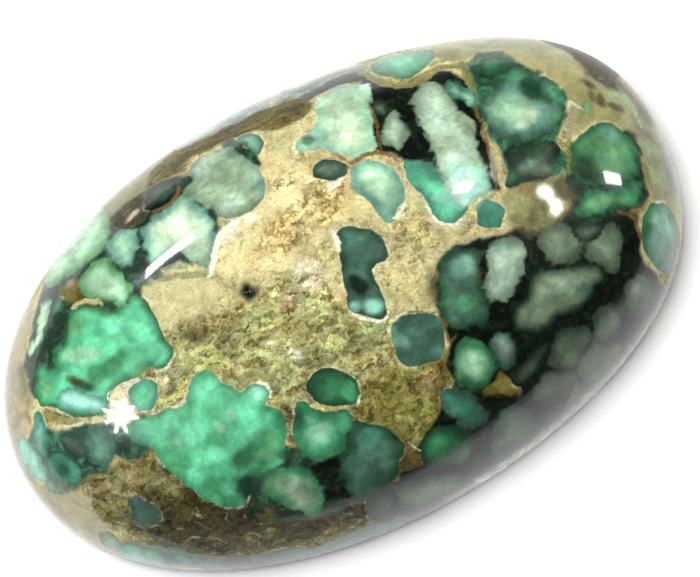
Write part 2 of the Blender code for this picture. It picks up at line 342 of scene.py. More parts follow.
# Soft round patches on the matrix: middle, half sizes, turn in degrees, tint, strength.
GROUND_SPOTS = (
    (-7.0, 0.9, 1.6, 0.6, 8, "olive", 0.6),
    (-7.25, 1.15, 0.5, 0.95, 20, "umber", 0.7),
    (-9.7, 0.15, 0.35, 0.3, 0, "moss", 0.6),
    (-11.35, 6.0, 0.3, 0.45, 0, "umber", 0.8),
    (-11.7, 6.8, 0.25, 0.25, 0, "beige", 0.7),
    (-7.9, 4.45, 0.9, 0.35, -5, "slate", 0.9),
    (4.2, -8.1, 0.55, 0.35, -30, "ochre", 0.6),
    (0.6, 7.2, 0.8, 1.2, 0, "sand_olive", 0.45),
    (1.0, 3.6, 1.6, 1.0, 20, "sand_tan", 0.6),
    (-1.4, 3.2, 1.3, 0.8, 10, "sand_tan", 0.45),
    (-2.8, 3.6, 1.0, 0.7, 0, "straw", 0.25),
    (-6.2, -0.2, 0.8, 0.5, 30, "umber", 0.55),
    (-9.3, -0.3, 1.0, 0.5, 0, "olive", 0.5),
    (-5.0, -2.6, 0.5, 1.1, 20, "olive", 0.5),
    (-5.7, -4.8, 0.35, 1.3, -8, "umber", 0.85),
    (-3.6, -5.3, 0.9, 0.25, -20, "sand_tan", 0.6),
    (-4.2, -3.9, 0.25, 0.6, 0, "umber", 0.6),
    (0.9, -6.0, 0.6, 0.5, 0, "sand_tan", 0.45),
    (-0.2, -6.4, 0.5, 0.5, 0, "rust", 0.35),
    (1.6, -5.8, 0.4, 0.4, 0, "rust", 0.4),
    (-1.3, -8.6, 0.3, 0.9, 10, "rust", 0.5),
    (-3.0, -0.9, 1.3, 0.45, -25, "olive", 0.45),
    (-1.0, -3.2, 0.8, 0.6, -40, "olive", 0.55),
    (-3.2, -2.6, 0.7, 0.5, 0, "umber", 0.35),
    (-1.5, 0.6, 0.85, 0.9, 0, "chalk", 0.85),
    (-2.7, 0.2, 0.7, 0.6, 0, "beige", 0.7),
    (*PIT_PLACE, 0.6, 0.5, 0, "earth", 0.9),
    (*PIT_PLACE, 0.42, 0.38, 0, "web", 1.0),
    (-5.4, 3.3, 0.35, 0.7, 30, "olive", 0.6),
    (-4.9, 2.4, 0.5, 0.3, 0, "olive", 0.4),
    (0.4, 3.6, 0.9, 0.4, 20, "sand", 0.8),
    (-0.8, 2.6, 0.9, 0.5, 0, "sand", 0.6),
    (1.5, 2.5, 0.6, 0.5, 0, "sand", 0.6),
    # Cream patches, partly painted highlights along the nodules' edges.
    (-3.7, 4.5, 0.9, 0.3, 20, "cream_and_glint", 0.9),
    (-2.4, 4.55, 0.5, 0.22, 5, "cream_and_glint", 0.7),
    (1.5, 4.0, 0.45, 0.25, -15, "cream_and_glint", 0.8),
    (0.5, 1.9, 0.3, 0.2, 35, "cream_and_glint", 0.8),
    (-3.85, -2.2, 0.22, 0.5, 10, "cream_and_glint", 0.8),
    (-4.6, -1.1, 0.3, 0.12, -35, "cream_and_glint", 0.7),
    (-7.2, -0.45, 0.6, 0.25, 10, "moss", 0.5),
    (-6.1, 0.3, 0.35, 0.3, 0, "moss", 0.45),
    (0.0, -2.9, 0.6, 0.22, -15, "moss", 0.7),
    (3.0, 0.2, 0.5, 0.6, 0, "chalk", 0.35),
    (4.9, 1.0, 0.25, 0.6, 0, "chalk", 0.6),
    (3.2, -2.3, 0.3, 0.8, -25, "olive", 0.7),
    (6.0, -0.8, 0.7, 0.35, 0, "beige", 0.5),
    (8.5, -0.8, 0.6, 0.8, 0, "sand_olive", 0.6),
    (9.2, -0.5, 0.5, 0.25, 0, "rust", 0.5),
    (8.9, -1.7, 0.25, 0.5, -25, "umber", 0.5),
    (9.5, -1.4, 0.2, 0.5, 15, "umber", 0.5),
    (10.9, -1.3, 0.5, 0.7, 0, "earth", 0.9),
    (11.7, -1.1, 0.6, 0.6, 0, "web_green", 0.8),
    # Whitish matrix under the left glint, partly a painted highlight.
    (-12.1, -0.3, 0.6, 0.6, 0, "chalk", 0.95),
    (-11.5, 0.6, 0.5, 0.28, 0, "chalk", 0.8),
    (-9.7, -0.1, 0.3, 0.4, 0, "cream_and_glint", 0.5),
    (-0.8, -6.9, 0.7, 0.8, 0, "ochre", 0.6),
    (0.9, -6.3, 0.6, 0.4, 0, "beige", 0.25),
    (-16.4, 2.5, 0.3, 1.0, -25, "rust", 0.6),
    (-15.9, 3.9, 0.3, 0.9, -15, "umber", 0.5),
    (-15.2, 1.1, 0.9, 0.35, -35, "ochre", 0.8),
    (-14.0, 0.4, 0.7, 0.25, -20, "ochre", 0.5),
    (-13.7, -0.9, 0.6, 0.6, 0, "sage_grey", 0.5),
    (-15.2, 0.1, 0.6, 0.25, -20, "forest", 0.8),
    (-14.3, -1.5, 0.5, 0.4, 0, "web", 0.8),
    (-12.7, -1.7, 0.6, 0.4, 20, "web_green", 0.9),
    (-12.3, -1.15, 0.4, 0.3, 0, "slate", 0.8),
    (-17.2, -2.4, 0.9, 0.8, 0, "beige", 0.7),
    (-12.1, -3.0, 0.8, 0.4, 0, "ochre", 0.5),
    (-11.6, -5.8, 0.7, 0.7, 0, "umber", 0.6),
    (-12.8, -6.9, 0.7, 0.4, -30, "umber", 0.5),
    (-10.7, -7.9, 0.6, 0.5, 0, "umber", 0.5),
    (-14.1, -6.6, 0.7, 0.3, -50, "ochre", 0.6),
    (-14.0, -3.2, 1.2, 0.6, -10, "beige", 0.35),
    (-11.9, -4.4, 0.5, 0.9, 10, "olive", 0.6),
    (-16.0, -2.9, 0.7, 0.6, 0, "beige", 0.6),
    (-9.8, -9.2, 1.2, 0.6, -20, "olive", 0.45),
    (-7.2, -10.9, 1.2, 0.7, 0, "olive", 0.35),
    (-16.0, 3.7, 0.5, 1.2, -20, "olive", 0.6),
    (-16.6, 2.6, 0.7, 0.4, 20, "straw", 0.6),
    (-7.3, 8.0, 0.3, 0.25, 0, "chalk", 0.7),
    (-1.0, 9.6, 1.6, 0.2, 3, "umber", 0.6),
    (-3.4, 9.9, 1.2, 0.3, 10, "umber", 0.5),
    (2.2, 9.2, 0.8, 0.25, -10, "umber", 0.85),
    (1.6, 8.75, 0.7, 0.16, -12, "umber", 0.7),
    (-0.1, 11.3, 0.9, 1.0, 0, "slate", 0.6),
    (1.8, 11.2, 0.9, 0.9, 0, "beige", 0.6),
    (6.3, 10.0, 0.5, 1.0, 0, "olive", 0.7),
    (10.1, 8.2, 0.9, 0.6, -20, "ochre", 0.85),
    (10.3, 6.8, 0.3, 0.45, 0, "slate", 0.8),
    (-4.4, 8.8, 0.4, 0.4, 0, "umber", 0.4),
    (13.5, 4.2, 0.7, 1.0, 0, "sand", 0.4),
    (14.9, 4.9, 0.7, 0.9, 0, "sand_olive", 0.5),
    (15.2, 3.1, 0.3, 0.55, 10, "umber", 0.9),
    (14.9, 2.4, 0.22, 0.3, 0, "umber", 0.7),
    (15.3, 2.1, 0.25, 0.4, -20, "umber", 0.8),
    (15.9, 1.5, 0.55, 0.28, -40, "umber", 0.9),
    (16.9, 3.3, 0.9, 0.3, -58, "umber", 0.75),
    (17.6, 2.2, 0.7, 0.3, -62, "umber", 0.65),
    (18.1, 1.1, 0.6, 0.25, -75, "umber", 0.5),
    (-8.9, -7.2, 0.7, 0.6, 0, "web_green", 0.9),
    (-7.7, -8.7, 0.9, 0.5, -25, "web_green", 0.9),
    (-5.9, -9.4, 1.0, 0.5, -20, "web_green", 0.9),
    (15.2, 5.6, 0.6, 0.9, 30, "sand_olive", 0.5),
    (15.5, 4.3, 0.4, 0.8, 20, "sand_tan", 0.5),
    (16.1, 0.5, 0.45, 0.5, 0, "sand", 0.5),
    (17.2, 0.4, 0.7, 0.7, 30, "olive", 0.5),
    (16.3, -2.4, 0.7, 0.7, 0, "moss", 0.55),
    (16.4, -1.0, 0.35, 0.4, 0, "leaf", 0.6),
    (17.2, -1.4, 0.5, 0.4, 0, "moss", 0.5),
    (17.9, 0.7, 0.4, 0.6, 0, "web_green", 0.5),
    (17.1, -0.3, 0.5, 0.3, 0, "web_green", 0.4),
    (17.3, -3.0, 0.6, 0.9, 0, "grey_green", 0.5),
    (14.0, -3.5, 0.4, 0.3, 40, "rust", 0.5),
    (12.0, 7.6, 0.8, 0.6, 0, "sage_mid", 0.5),
    (13.4, 7.0, 1.3, 0.8, -30, "sage_grey", 0.35),
)

# Places where the matrix is smoother or grainier than round about: middle, half sizes, turn, grain.
GRAIN_SPOTS = (
    (0.9, 3.7, 2.0, 1.1, 25, 1.0),
    (-1.2, 3.0, 1.6, 0.9, 10, 0.95),
    (-0.4, 5.2, 0.8, 0.7, 0, 0.9),
    (3.6, 0.2, 1.0, 1.3, 0, 0.9),
    (-7.0, -8.9, 1.9, 0.6, -22, 0.3),
    (-12.1, -0.4, 1.2, 0.9, 0, 0.12),
    (-7.4, 4.4, 1.2, 0.4, 10, 0.2),
    (*PIT_PLACE, 0.6, 0.5, 0, 0.2),
)

# The nodules, lowest first: edge tint, core tint, depth of the edge tint, fibres from 0 to 1, outline.
NODULES = (
    ("left_sliver", "mint", "mint_white", 0.15, 0.1, (
        (-13.05, 6.6), (-13.1, 6.15), (-13.7, 5.3), (-14.2, 4.95), (-14.85, 4.65), (-14.9, 4.95),
        (-14.2, 5.45), (-13.9, 6.0), (-13.5, 6.9))),
    ("left_mist_top", "sage_grey", "sage_mid", 0.3, 0.0, (
        (-14.65, 4.1), (-14.2, 3.6), (-14.45, 3.15), (-15.05, 3.3))),
    ("upper_left_cap", "leaf", "mint", 0.5, 0.2, (
        (-12.95, 7.6), (-12.0, 7.35), (-11.0, 7.2), (-10.0, 7.3), (-9.2, 7.5), (-8.7, 8.0), (-8.6, 8.8),
        (-8.8, 9.8), (-9.4, 11.0), (-10.6, 11.6), (-11.8, 10.6), (-12.6, 9.5), (-12.95, 8.5))),
    ("jade_wing", "jade_deep", "jade", 0.3, 0.2, (
        (-15.6, 2.1), (-15.5, 2.9), (-15.2, 3.4), (-14.8, 3.9), (-14.5, 3.9), (-14.1, 3.4),
        (-13.8, 3.7), (-13.4, 4.0), (-12.9, 4.1), (-12.6, 4.5), (-12.3, 5.0), (-11.9, 5.3),
        (-11.4, 5.2), (-11.0, 4.9), (-10.6, 4.5), (-10.1, 4.0), (-9.6, 3.95), (-9.0, 4.2), (-8.7, 4.0),
        (-8.5, 3.5), (-8.5, 2.6), (-8.6, 2.0), (-8.6, 1.3), (-8.5, 0.9), (-8.8, 0.5), (-9.2, 0.35),
        (-9.6, 0.5), (-9.9, 0.75), (-10.5, 0.65), (-11.0, 0.7), (-11.5, 0.85), (-12.0, 0.7),
        (-12.3, 0.4), (-12.6, 0.1), (-13.0, 0.1), (-13.6, 0.35), (-14.2, 0.75), (-14.7, 1.35),
        (-15.1, 1.8))),
    # Its pale aqua core is partly a painted reflection of a soft lamp, over teal.
    ("ice_patch", "teal", "aqua", 0.25, 0.1, (
        (-14.7, 1.7), (-14.4, 2.05), (-13.9, 2.1), (-13.5, 1.9), (-13.2, 1.5), (-12.9, 1.1),
        (-12.5, 0.7), (-12.45, 0.3), (-12.8, 0.1), (-13.3, 0.3), (-13.9, 0.7), (-14.4, 1.1))),
    ("pale_wedge", "leaf", "mint", 0.35, 0.2, (
        (-11.1, 6.4), (-10.6, 6.7), (-10.0, 6.8), (-9.35, 6.6), (-9.2, 6.0), (-9.0, 5.4), (-8.9, 4.9),
        (-8.95, 4.2), (-9.3, 3.9), (-9.7, 4.0), (-10.0, 4.5), (-10.6, 5.1), (-11.1, 5.7))),
    ("upper_left_drop", "teal_pale", "mint", 0.3, 0.2, (
        (-9.1, 6.9), (-9.0, 7.4), (-8.5, 7.6), (-7.9, 7.5), (-7.6, 7.1), (-7.7, 6.5), (-8.0, 6.1),
        (-8.3, 5.6), (-8.6, 5.5), (-8.9, 6.0))),
    ("small_teal_upper_left", "forest", "teal", 0.3, 0.0, (
        (-13.1, 5.7), (-12.9, 6.2), (-12.5, 6.4), (-12.2, 6.2), (-12.2, 5.7), (-12.6, 5.5))),
    ("button", "teal", "jade", 0.3, 0.0, (
        (-11.55, -0.2), (-11.3, 0.3), (-10.8, 0.45), (-10.3, 0.35), (-10.0, -0.1), (-10.15, -0.6),
        (-10.6, -0.95), (-11.1, -0.9), (-11.45, -0.65))),
    ("left_ice", "teal_pale", "aqua", 0.4, 0.1, (
        (-18.5, 1.3), (-17.9, 1.7), (-17.3, 1.3), (-17.1, 0.7), (-17.2, 0.0), (-17.3, -0.5),
        (-17.7, -0.9), (-18.3, -0.4), (-18.7, 0.4))),
    ("left_teal", "teal", "teal_pale", 0.3, 0.1, (
        (-16.9, 1.2), (-16.5, 1.6), (-16.1, 2.0), (-15.75, 1.9), (-15.8, 1.4), (-15.9, 1.0),
        (-16.2, 0.5), (-16.5, 0.1), (-17.0, 0.2), (-17.1, 0.7))),
    ("left_dark_teal", "teal", "forest", 0.5, 0.0, (
        (-16.9, -0.9), (-16.6, -0.3), (-16.2, -0.1), (-15.8, -0.4), (-15.6, -0.9), (-15.5, -1.5),
        (-15.9, -1.85), (-16.5, -1.6), (-17.0, -1.4))),
    ("left_slate", "teal_dark", "grey_green", 0.3, 0.0, (
        (-15.6, 0.2), (-15.1, 0.4), (-14.6, 0.1), (-14.4, -0.5), (-14.5, -1.1), (-15.1, -1.0),
        (-15.4, -0.6))),
    ("left_mist", "teal_dusk", "teal_pale", 0.7, 0.0, (
        (-14.3, -0.5), (-13.8, -0.2), (-13.3, -0.4), (-13.0, -0.9), (-13.1, -1.5), (-13.6, -1.9),
        (-14.2, -1.9), (-14.6, -1.6), (-14.4, -1.0))),
    ("left_lavender", "sage_grey", "sage_mid", 0.3, 0.0, (
        (-17.9, -1.1), (-17.3, -1.0), (-16.9, -1.5), (-17.0, -1.95), (-17.6, -1.8))),
    ("small_teal_low_left", "slate", "teal_dusk", 0.4, 0.0, (
        (-14.1, -4.0), (-13.6, -3.95), (-13.3, -4.5), (-13.0, -5.0), (-13.2, -5.5), (-13.9, -5.6),
        (-14.4, -5.3), (-14.7, -4.9), (-14.3, -4.5))),
    ("low_left_pale", "teal", "teal_pale", 0.5, 0.1, (
        (-17.2, -6.0), (-16.2, -5.7), (-15.5, -6.0), (-15.0, -6.4), (-14.8, -7.0), (-15.1, -7.6),
        (-15.6, -8.4), (-16.4, -8.1), (-17.2, -7.2))),
    ("low_left_edge", "sage_grey", "teal_pale", 0.4, 0.0, (
        (-17.5, -5.2), (-16.9, -4.6), (-16.2, -4.7), (-16.0, -5.3), (-16.5, -5.7), (-17.3, -6.0))),
    ("low_left_chip", "teal_dusk", "teal", 0.3, 0.0, (
        (-14.5, -7.2), (-13.9, -7.1), (-13.5, -7.6), (-13.8, -8.4), (-14.5, -8.5))),
    ("low_slate", "teal_dark", "slate", 0.4, 0.0, (
        (-13.0, -9.6), (-12.4, -9.1), (-11.7, -9.1), (-11.2, -9.6), (-11.4, -10.3), (-12.2, -10.6),
        (-12.9, -10.3))),
    ("low_teal", "teal_dusk", "teal", 0.5, 0.1, (
        (-11.0, -10.2), (-10.3, -10.1), (-9.5, -10.2), (-8.9, -10.5), (-8.5, -11.1), (-8.5, -11.9),
        (-9.3, -12.4), (-10.4, -12.0), (-11.2, -11.2))),
    ("great_jade", "jade_mid", "jade", 0.35, 0.1, (
        (-12.2, -1.2), (-11.6, -1.0), (-11.1, -1.1), (-10.5, -1.3), (-10.0, -1.35), (-9.7, -1.5),
        (-9.3, -1.4), (-8.9, -1.2), (-8.6, -0.9), (-8.3, -0.7), (-7.9, -0.65), (-7.5, -0.85),
        (-7.35, -1.2), (-7.3, -1.6), (-7.0, -2.0), (-6.8, -2.4), (-6.4, -2.35), (-6.0, -2.4),
        (-5.7, -2.7), (-5.65, -3.0), (-5.9, -3.2), (-6.1, -3.5), (-5.7, -3.9), (-5.65, -4.4),
        (-5.8, -4.9), (-6.1, -5.3), (-6.4, -5.8), (-6.9, -6.2), (-7.6, -6.2), (-8.3, -6.1),
        (-8.8, -6.5), (-9.3, -6.9), (-9.8, -6.9), (-10.3, -6.5), (-10.8, -5.9), (-11.0, -5.2),
        (-11.3, -4.5), (-11.5, -3.8), (-11.65, -3.1), (-11.6, -2.6), (-12.0, -2.2), (-12.35, -1.7))),
    ("low_leaf", "jade_deep", "sage_mid", 0.45, 0.3, (
        (-8.2, -6.5), (-7.8, -6.1), (-6.9, -6.3), (-6.1, -6.9), (-5.8, -7.9), (-5.9, -8.7), (-6.6, -9.2),
        (-7.3, -8.8), (-7.8, -8.0), (-8.2, -7.3), (-8.4, -6.8))),
    ("bright_heart", "jade_deep", "jade_light", 0.75, 0.1, (
        (-5.6, -5.0), (-5.2, -4.5), (-4.9, -4.1), (-4.5, -4.2), (-4.3, -4.7), (-3.8, -5.1), (-3.0, -5.5),
        (-3.1, -6.1), (-3.7, -6.5), (-4.1, -6.9), (-4.9, -6.9), (-5.4, -6.8), (-5.8, -6.3), (-5.8, -5.6))),
    ("deep_oval", "forest", "jade_deep", 0.4, 0.1, (
        (-3.8, -3.4), (-3.0, -3.3), (-2.3, -3.9), (-2.0, -4.5), (-2.1, -5.1), (-2.5, -5.4), (-3.2, -5.2),
        (-3.8, -4.8), (-4.1, -4.3), (-4.1, -3.7))),
    ("dusky_lump", "forest", "teal_dusk", 0.4, 0.1, (
        (-3.4, -6.2), (-2.9, -6.1), (-2.4, -6.5), (-2.0, -7.0), (-1.7, -7.8), (-1.4, -8.3), (-2.0, -8.9),
        (-2.4, -9.5), (-3.4, -9.9), (-4.6, -9.9), (-4.9, -9.2), (-4.7, -8.1), (-4.3, -7.4), (-3.7, -6.9))),
    ("low_green", "forest", "jade_deep", 0.4, 0.1, (
        (-1.0, -9.2), (-0.4, -8.5), (0.5, -8.4), (1.3, -9.0), (1.9, -9.9), (1.7, -10.7), (0.8, -11.0),
        (-0.4, -10.5), (-1.0, -9.8))),
    ("teal_lens", "teal_dusk", "teal", 0.3, 0.1, (
        (1.0, -7.3), (1.3, -6.9), (1.8, -7.0), (2.3, -7.5), (2.7, -8.2), (2.9, -8.9), (2.7, -9.3),
        (2.1, -9.3), (1.5, -8.7), (1.1, -7.9))),
    ("pale_round", "jade_deep", "mint", 0.45, 0.1, (
        (2.3, -6.3), (2.5, -5.7), (3.0, -5.3), (3.4, -5.3), (3.8, -5.6), (4.0, -6.0), (4.2, -6.6),
        (4.1, -7.1), (3.6, -7.5), (3.0, -7.6), (2.5, -7.2), (2.2, -6.8))),
    ("pale_bean", "teal_dusk", "sage_white", 0.45, 0.0, (
        (4.3, -6.1), (4.8, -5.7), (5.2, -5.8), (5.4, -6.4), (5.3, -7.0), (4.8, -7.4), (4.4, -7.1),
        (4.3, -6.7))),
    ("web_slip", "web_green", "grey_green", 0.3, 0.1, (
        (4.6, -7.9), (5.0, -7.5), (5.8, -7.3), (6.7, -7.0), (7.0, -7.4), (6.4, -8.0), (5.8, -8.4),
        (5.1, -8.6), (4.6, -8.3))),
    ("web_grey", "grey_green", "sage_grey", 0.3, 0.1, (
        (6.8, -7.9), (7.2, -7.4), (7.8, -7.1), (8.6, -7.2), (9.2, -7.6), (9.2, -8.1), (8.6, -8.5),
        (8.1, -9.0), (7.4, -8.8), (6.8, -8.4))),
    ("web_round", "grey_green", "sage_grey", 0.3, 0.0, (
        (9.5, -7.7), (9.7, -7.1), (10.2, -6.9), (10.9, -7.1), (11.3, -7.7), (11.2, -8.3), (10.6, -8.7),
        (9.9, -8.7), (9.5, -8.2))),
    ("web_moss", "grey_green", "sage_grey", 0.4, 0.0, (
        (11.8, -7.1), (12.0, -6.5), (12.6, -6.2), (13.3, -6.5), (14.0, -7.1), (14.1, -7.8), (13.6, -8.2),
        (12.8, -8.4), (12.1, -8.1), (11.7, -7.6))),
    ("low_grey_one", "grey_green", "sage_grey", 0.6, 0.1, (
        (5.5, -9.0), (5.9, -8.7), (6.5, -8.6), (7.2, -8.9), (7.8, -9.1), (8.0, -9.5), (7.6, -10.2),
        (6.9, -10.4), (6.0, -10.0), (5.3, -9.6))),
    ("low_grey_two", "sage_grey", "sage_mid", 0.6, 0.1, (
        (8.2, -9.2), (8.7, -8.6), (9.3, -8.4), (10.2, -8.8), (11.0, -9.2), (11.0, -9.9),
        (10.3, -10.5), (9.3, -10.6), (8.5, -10.2))),
    ("low_grey_three", "teal_dusk", "sage", 0.7, 0.1, (
        (2.8, -10.2), (3.2, -9.6), (3.7, -9.2), (4.4, -9.4), (5.0, -9.9), (5.3, -10.6), (5.4, -11.3),
        (4.6, -11.9), (3.5, -12.0), (2.6, -11.6), (2.4, -10.8))),
    ("low_grey_four", "teal_dusk", "sage", 0.5, 0.1, (
        (-2.9, -10.2), (-1.7, -10.3), (-0.3, -10.8), (0.5, -11.6), (0.1, -12.6), (-1.7, -12.8),
        (-3.0, -11.7))),
    ("low_grey_five", "web_green", "grey_green", 0.4, 0.0, (
        (-4.4, -10.0), (-3.4, -9.9), (-2.9, -10.4), (-3.1, -11.4), (-3.8, -12.2), (-4.8, -11.5))),
    ("low_grey_six", "sage_grey", "sage_mid", 0.6, 0.1, (
        (7.5, -10.5), (8.0, -9.8), (8.5, -10.3), (9.3, -10.8), (9.4, -11.8), (8.4, -12.8), (7.4, -12.2))),
    ("rim_sage", "sage_grey", "sage", 0.4, 0.1, (
        (-4.0, 11.3), (-3.2, 10.9), (-2.2, 10.7), (-1.4, 10.8), (-1.1, 11.4), (-1.4, 12.4), (-2.4, 13.2),
        (-3.6, 12.8))),
    ("rim_green", "grey_green", "sage_mid", 0.5, 0.1, (
        (2.5, 10.8), (3.4, 10.4), (4.6, 10.5), (5.6, 10.3), (6.0, 10.9), (5.8, 12.0), (4.6, 12.8),
        (3.2, 12.6), (2.5, 11.7))),
    ("pale_shield", "teal_pale", "mint_white", 0.4, 0.2, (
        (-7.55, 5.0), (-7.35, 5.8), (-7.2, 6.5), (-7.0, 7.0), (-6.4, 7.2), (-5.7, 7.1), (-5.2, 7.35),
        (-4.8, 7.45), (-4.55, 7.1), (-4.4, 6.5), (-4.2, 6.0), (-4.05, 5.4), (-4.2, 4.8), (-4.5, 4.4),
        (-4.9, 3.9), (-5.2, 3.3), (-5.5, 3.6), (-5.9, 4.3), (-6.2, 4.8), (-6.6, 4.95))),
    ("great_sage", "sage_mid", "sage", 0.4, 0.5, (
        (-4.4, 7.9), (-4.0, 8.1), (-3.9, 8.6), (-3.7, 9.0), (-3.2, 9.15), (-2.6, 9.1), (-2.0, 8.95),
        (-1.5, 8.8), (-1.35, 8.4), (-1.3, 7.8), (-1.2, 7.2), (-1.0, 6.6), (-1.0, 6.0), (-1.2, 5.5),
        (-1.5, 5.05), (-2.0, 4.85), (-2.8, 4.8), (-3.4, 5.0), (-3.8, 5.4), (-3.9, 6.0), (-4.1, 6.6),
        (-4.4, 7.1), (-4.6, 7.5))),
    ("sage_companion", "teal_dusk", "teal_pale", 0.35, 0.1, (
        (-1.1, 9.0), (-0.7, 9.1), (-0.3, 8.8), (-0.1, 8.3), (-0.2, 7.7), (-0.6, 7.4), (-0.9, 7.6),
        (-1.0, 8.2))),
    ("slate_cap", "web", "teal_dark", 0.3, 0.1, (
        (-6.7, 7.9), (-6.4, 8.5), (-6.2, 9.0), (-5.6, 9.15), (-4.9, 8.9), (-4.6, 8.4), (-4.7, 7.9),
        (-5.3, 7.6), (-6.0, 7.65))),
    ("pale_square", "mint", "mint_white", 0.5, 0.15, (
        (3.0, 8.3), (3.3, 8.8), (4.0, 9.0), (4.7, 9.0), (5.3, 8.7), (5.9, 8.2), (5.7, 7.5), (5.2, 6.9),
        (4.9, 6.3), (4.6, 5.7), (4.3, 5.0), (4.1, 4.6), (3.6, 4.5), (3.0, 4.7), (2.5, 5.2), (2.0, 5.9),
        (1.3, 6.2), (1.0, 6.5), (1.2, 7.0), (1.8, 7.1), (2.4, 7.4), (2.8, 7.8))),
    ("dark_oval", "teal_dark", "sage_grey", 0.4, 0.1, (
        (1.0, 4.8), (1.2, 5.25), (1.7, 5.35), (2.2, 5.1), (2.5, 4.6), (2.4, 4.15), (1.9, 4.1),
        (1.4, 4.3))),
    ("web_pearl", "sage_mid", "sage_white", 0.3, 0.1, (
        (4.65, 4.6), (4.8, 5.2), (5.2, 5.5), (5.7, 5.9), (6.0, 5.6), (5.95, 5.1), (5.7, 4.6),
        (5.4, 4.2), (5.0, 4.1))),
    ("web_smoke", "web_green", "sage_grey", 0.25, 0.0, (
        (5.1, 6.7), (5.5, 6.95), (5.9, 6.6), (5.8, 6.3), (5.7, 6.0), (5.35, 5.85), (5.2, 6.25))),
    ("lobe_jade", "teal", "jade", 0.4, 0.1, (
        (4.75, 0.4), (4.8, 1.0), (4.8, 1.5), (4.65, 2.0), (4.7, 2.8), (4.9, 3.3), (5.3, 3.1),
        (5.7, 2.9), (6.1, 2.4), (6.3, 1.6), (6.4, 0.8), (6.4, 0.1), (6.2, -0.1), (5.9, -0.25),
        (5.5, -0.35), (5.0, -0.1))),
    ("great_pale", "sage", "sage_white", 0.4, 0.55, (
        (6.6, 4.9), (6.8, 5.5), (7.0, 6.1), (7.4, 6.5), (7.9, 6.8), (8.3, 6.5), (8.5, 6.0), (8.5, 5.3),
        (8.5, 4.7), (8.6, 4.0), (8.5, 3.2), (8.3, 2.5), (8.1, 1.7), (7.9, 0.9), (7.8, 0.3), (7.4, 0.1),
        (6.9, 0.2), (6.3, 0.1), (6.0, 0.6), (6.0, 1.5), (6.1, 2.4), (6.4, 3.0), (6.5, 3.7),
        (6.4, 4.3))),
    ("mint_chip", "teal", "mint", 0.25, 0.0, (
        (8.7, 5.3), (8.75, 5.8), (9.05, 6.1), (9.35, 5.75), (9.3, 5.3), (9.6, 5.0), (9.65, 4.6),
        (9.35, 4.3), (9.0, 4.4), (8.95, 4.9))),
    ("top_green", "jade_deep", "jade_light", 0.6, 0.1, (
        (6.7, 9.4), (6.7, 8.6), (7.1, 7.9), (7.7, 7.4), (8.6, 7.6), (9.6, 8.1), (9.9, 8.9), (9.0, 9.8),
        (8.2, 10.3), (7.3, 10.1))),
    ("clover", "forest", "jade_deep", 0.4, 0.0, (
        (10.6, 5.6), (10.9, 6.2), (11.4, 6.6), (11.9, 6.6), (12.2, 6.1), (12.2, 5.6), (11.6, 5.4),
        (11.0, 5.3))),
    ("cloud", "teal_dusk", "teal_pale", 0.55, 0.2, (
        (9.3, 2.4), (9.3, 3.2), (9.5, 3.9), (9.9, 4.4), (10.5, 4.6), (11.1, 4.8), (11.7, 5.2),
        (12.3, 5.2), (12.8, 4.8), (13.2, 4.3), (13.5, 3.7), (13.4, 3.0), (13.1, 2.4), (12.7, 2.0),
        (12.2, 1.6), (11.5, 1.5), (10.8, 1.7), (10.1, 1.9), (9.6, 2.1))),
    ("mottle", "web_green", "grey_green", 0.5, 0.5, (
        (8.4, 0.1), (8.9, 0.7), (9.1, 1.4), (9.6, 1.7), (10.4, 1.5), (11.2, 1.3), (11.8, 1.0),
        (11.6, 0.4), (11.0, -0.1), (10.3, -0.3), (9.6, -0.1), (9.0, -0.1))),
    ("round_green", "jade_deep", "leaf", 0.3, 0.1, (
        (12.3, 0.3), (12.9, 0.75), (13.6, 0.9), (14.3, 1.05), (14.9, 0.9), (15.3, 0.5), (15.6, 0.0),
        (15.7, -0.6), (15.4, -1.2), (15.1, -1.8), (14.5, -2.0), (13.8, -2.0), (13.1, -1.8),
        (12.4, -1.4), (11.9, -1.0), (11.8, -0.4))),
    ("green_lobes", "jade_deep", "leaf", 0.3, 0.1, (
        (10.9, -2.4), (11.4, -2.0), (12.0, -1.85), (12.6, -2.0), (13.2, -2.3), (13.8, -2.3),
        (14.4, -2.2), (14.8, -2.5), (14.6, -2.9), (14.1, -3.35), (13.5, -3.2), (12.8, -2.9),
        (12.0, -2.9), (11.3, -2.8))),
    ("right_tall", "jade_deep", "teal_pale", 0.45, 0.2, (
        (13.9, -4.3), (14.4, -3.8), (15.1, -3.5), (15.8, -3.7), (16.4, -4.2), (16.7, -5.0),
        (16.4, -6.0), (15.8, -6.8), (15.0, -7.0), (14.3, -6.6), (13.8, -6.0), (13.6, -5.2))),
    ("green_chip", "leaf", "moss", 0.15, 0.0, (
        (13.95, 1.7), (14.0, 2.1), (14.3, 2.35), (14.6, 2.3), (14.55, 1.9), (14.3, 1.65))),
    ("mint_acorn", "teal_pale", "mint", 0.35, 0.1, (
        (2.4, 3.8), (2.7, 4.2), (3.2, 4.3), (3.7, 4.1), (4.1, 3.7), (4.3, 3.2), (4.35, 2.5),
        (4.2, 2.0), (3.9, 1.6), (3.5, 1.4), (3.2, 1.05), (2.8, 1.05), (2.65, 1.5), (2.6, 2.2),
        (2.4, 2.8), (2.2, 3.3))),
    ("dark_block", "teal_dark", "teal_dusk", 0.3, 0.1, (
        (0.5, 1.7), (0.8, 1.9), (1.2, 1.8), (1.7, 1.4), (2.1, 0.9), (2.2, 0.3), (2.1, -0.2),
        (1.8, -0.4), (1.4, -0.4), (1.1, -0.6), (1.0, -1.2), (0.95, -1.8), (0.8, -2.3), (0.6, -2.65),
        (0.2, -2.6), (-0.2, -2.2), (-0.6, -1.8), (-0.7, -1.4), (-0.4, -0.9), (-0.3, -0.3), (0.0, 0.4),
        (0.2, 1.0))),
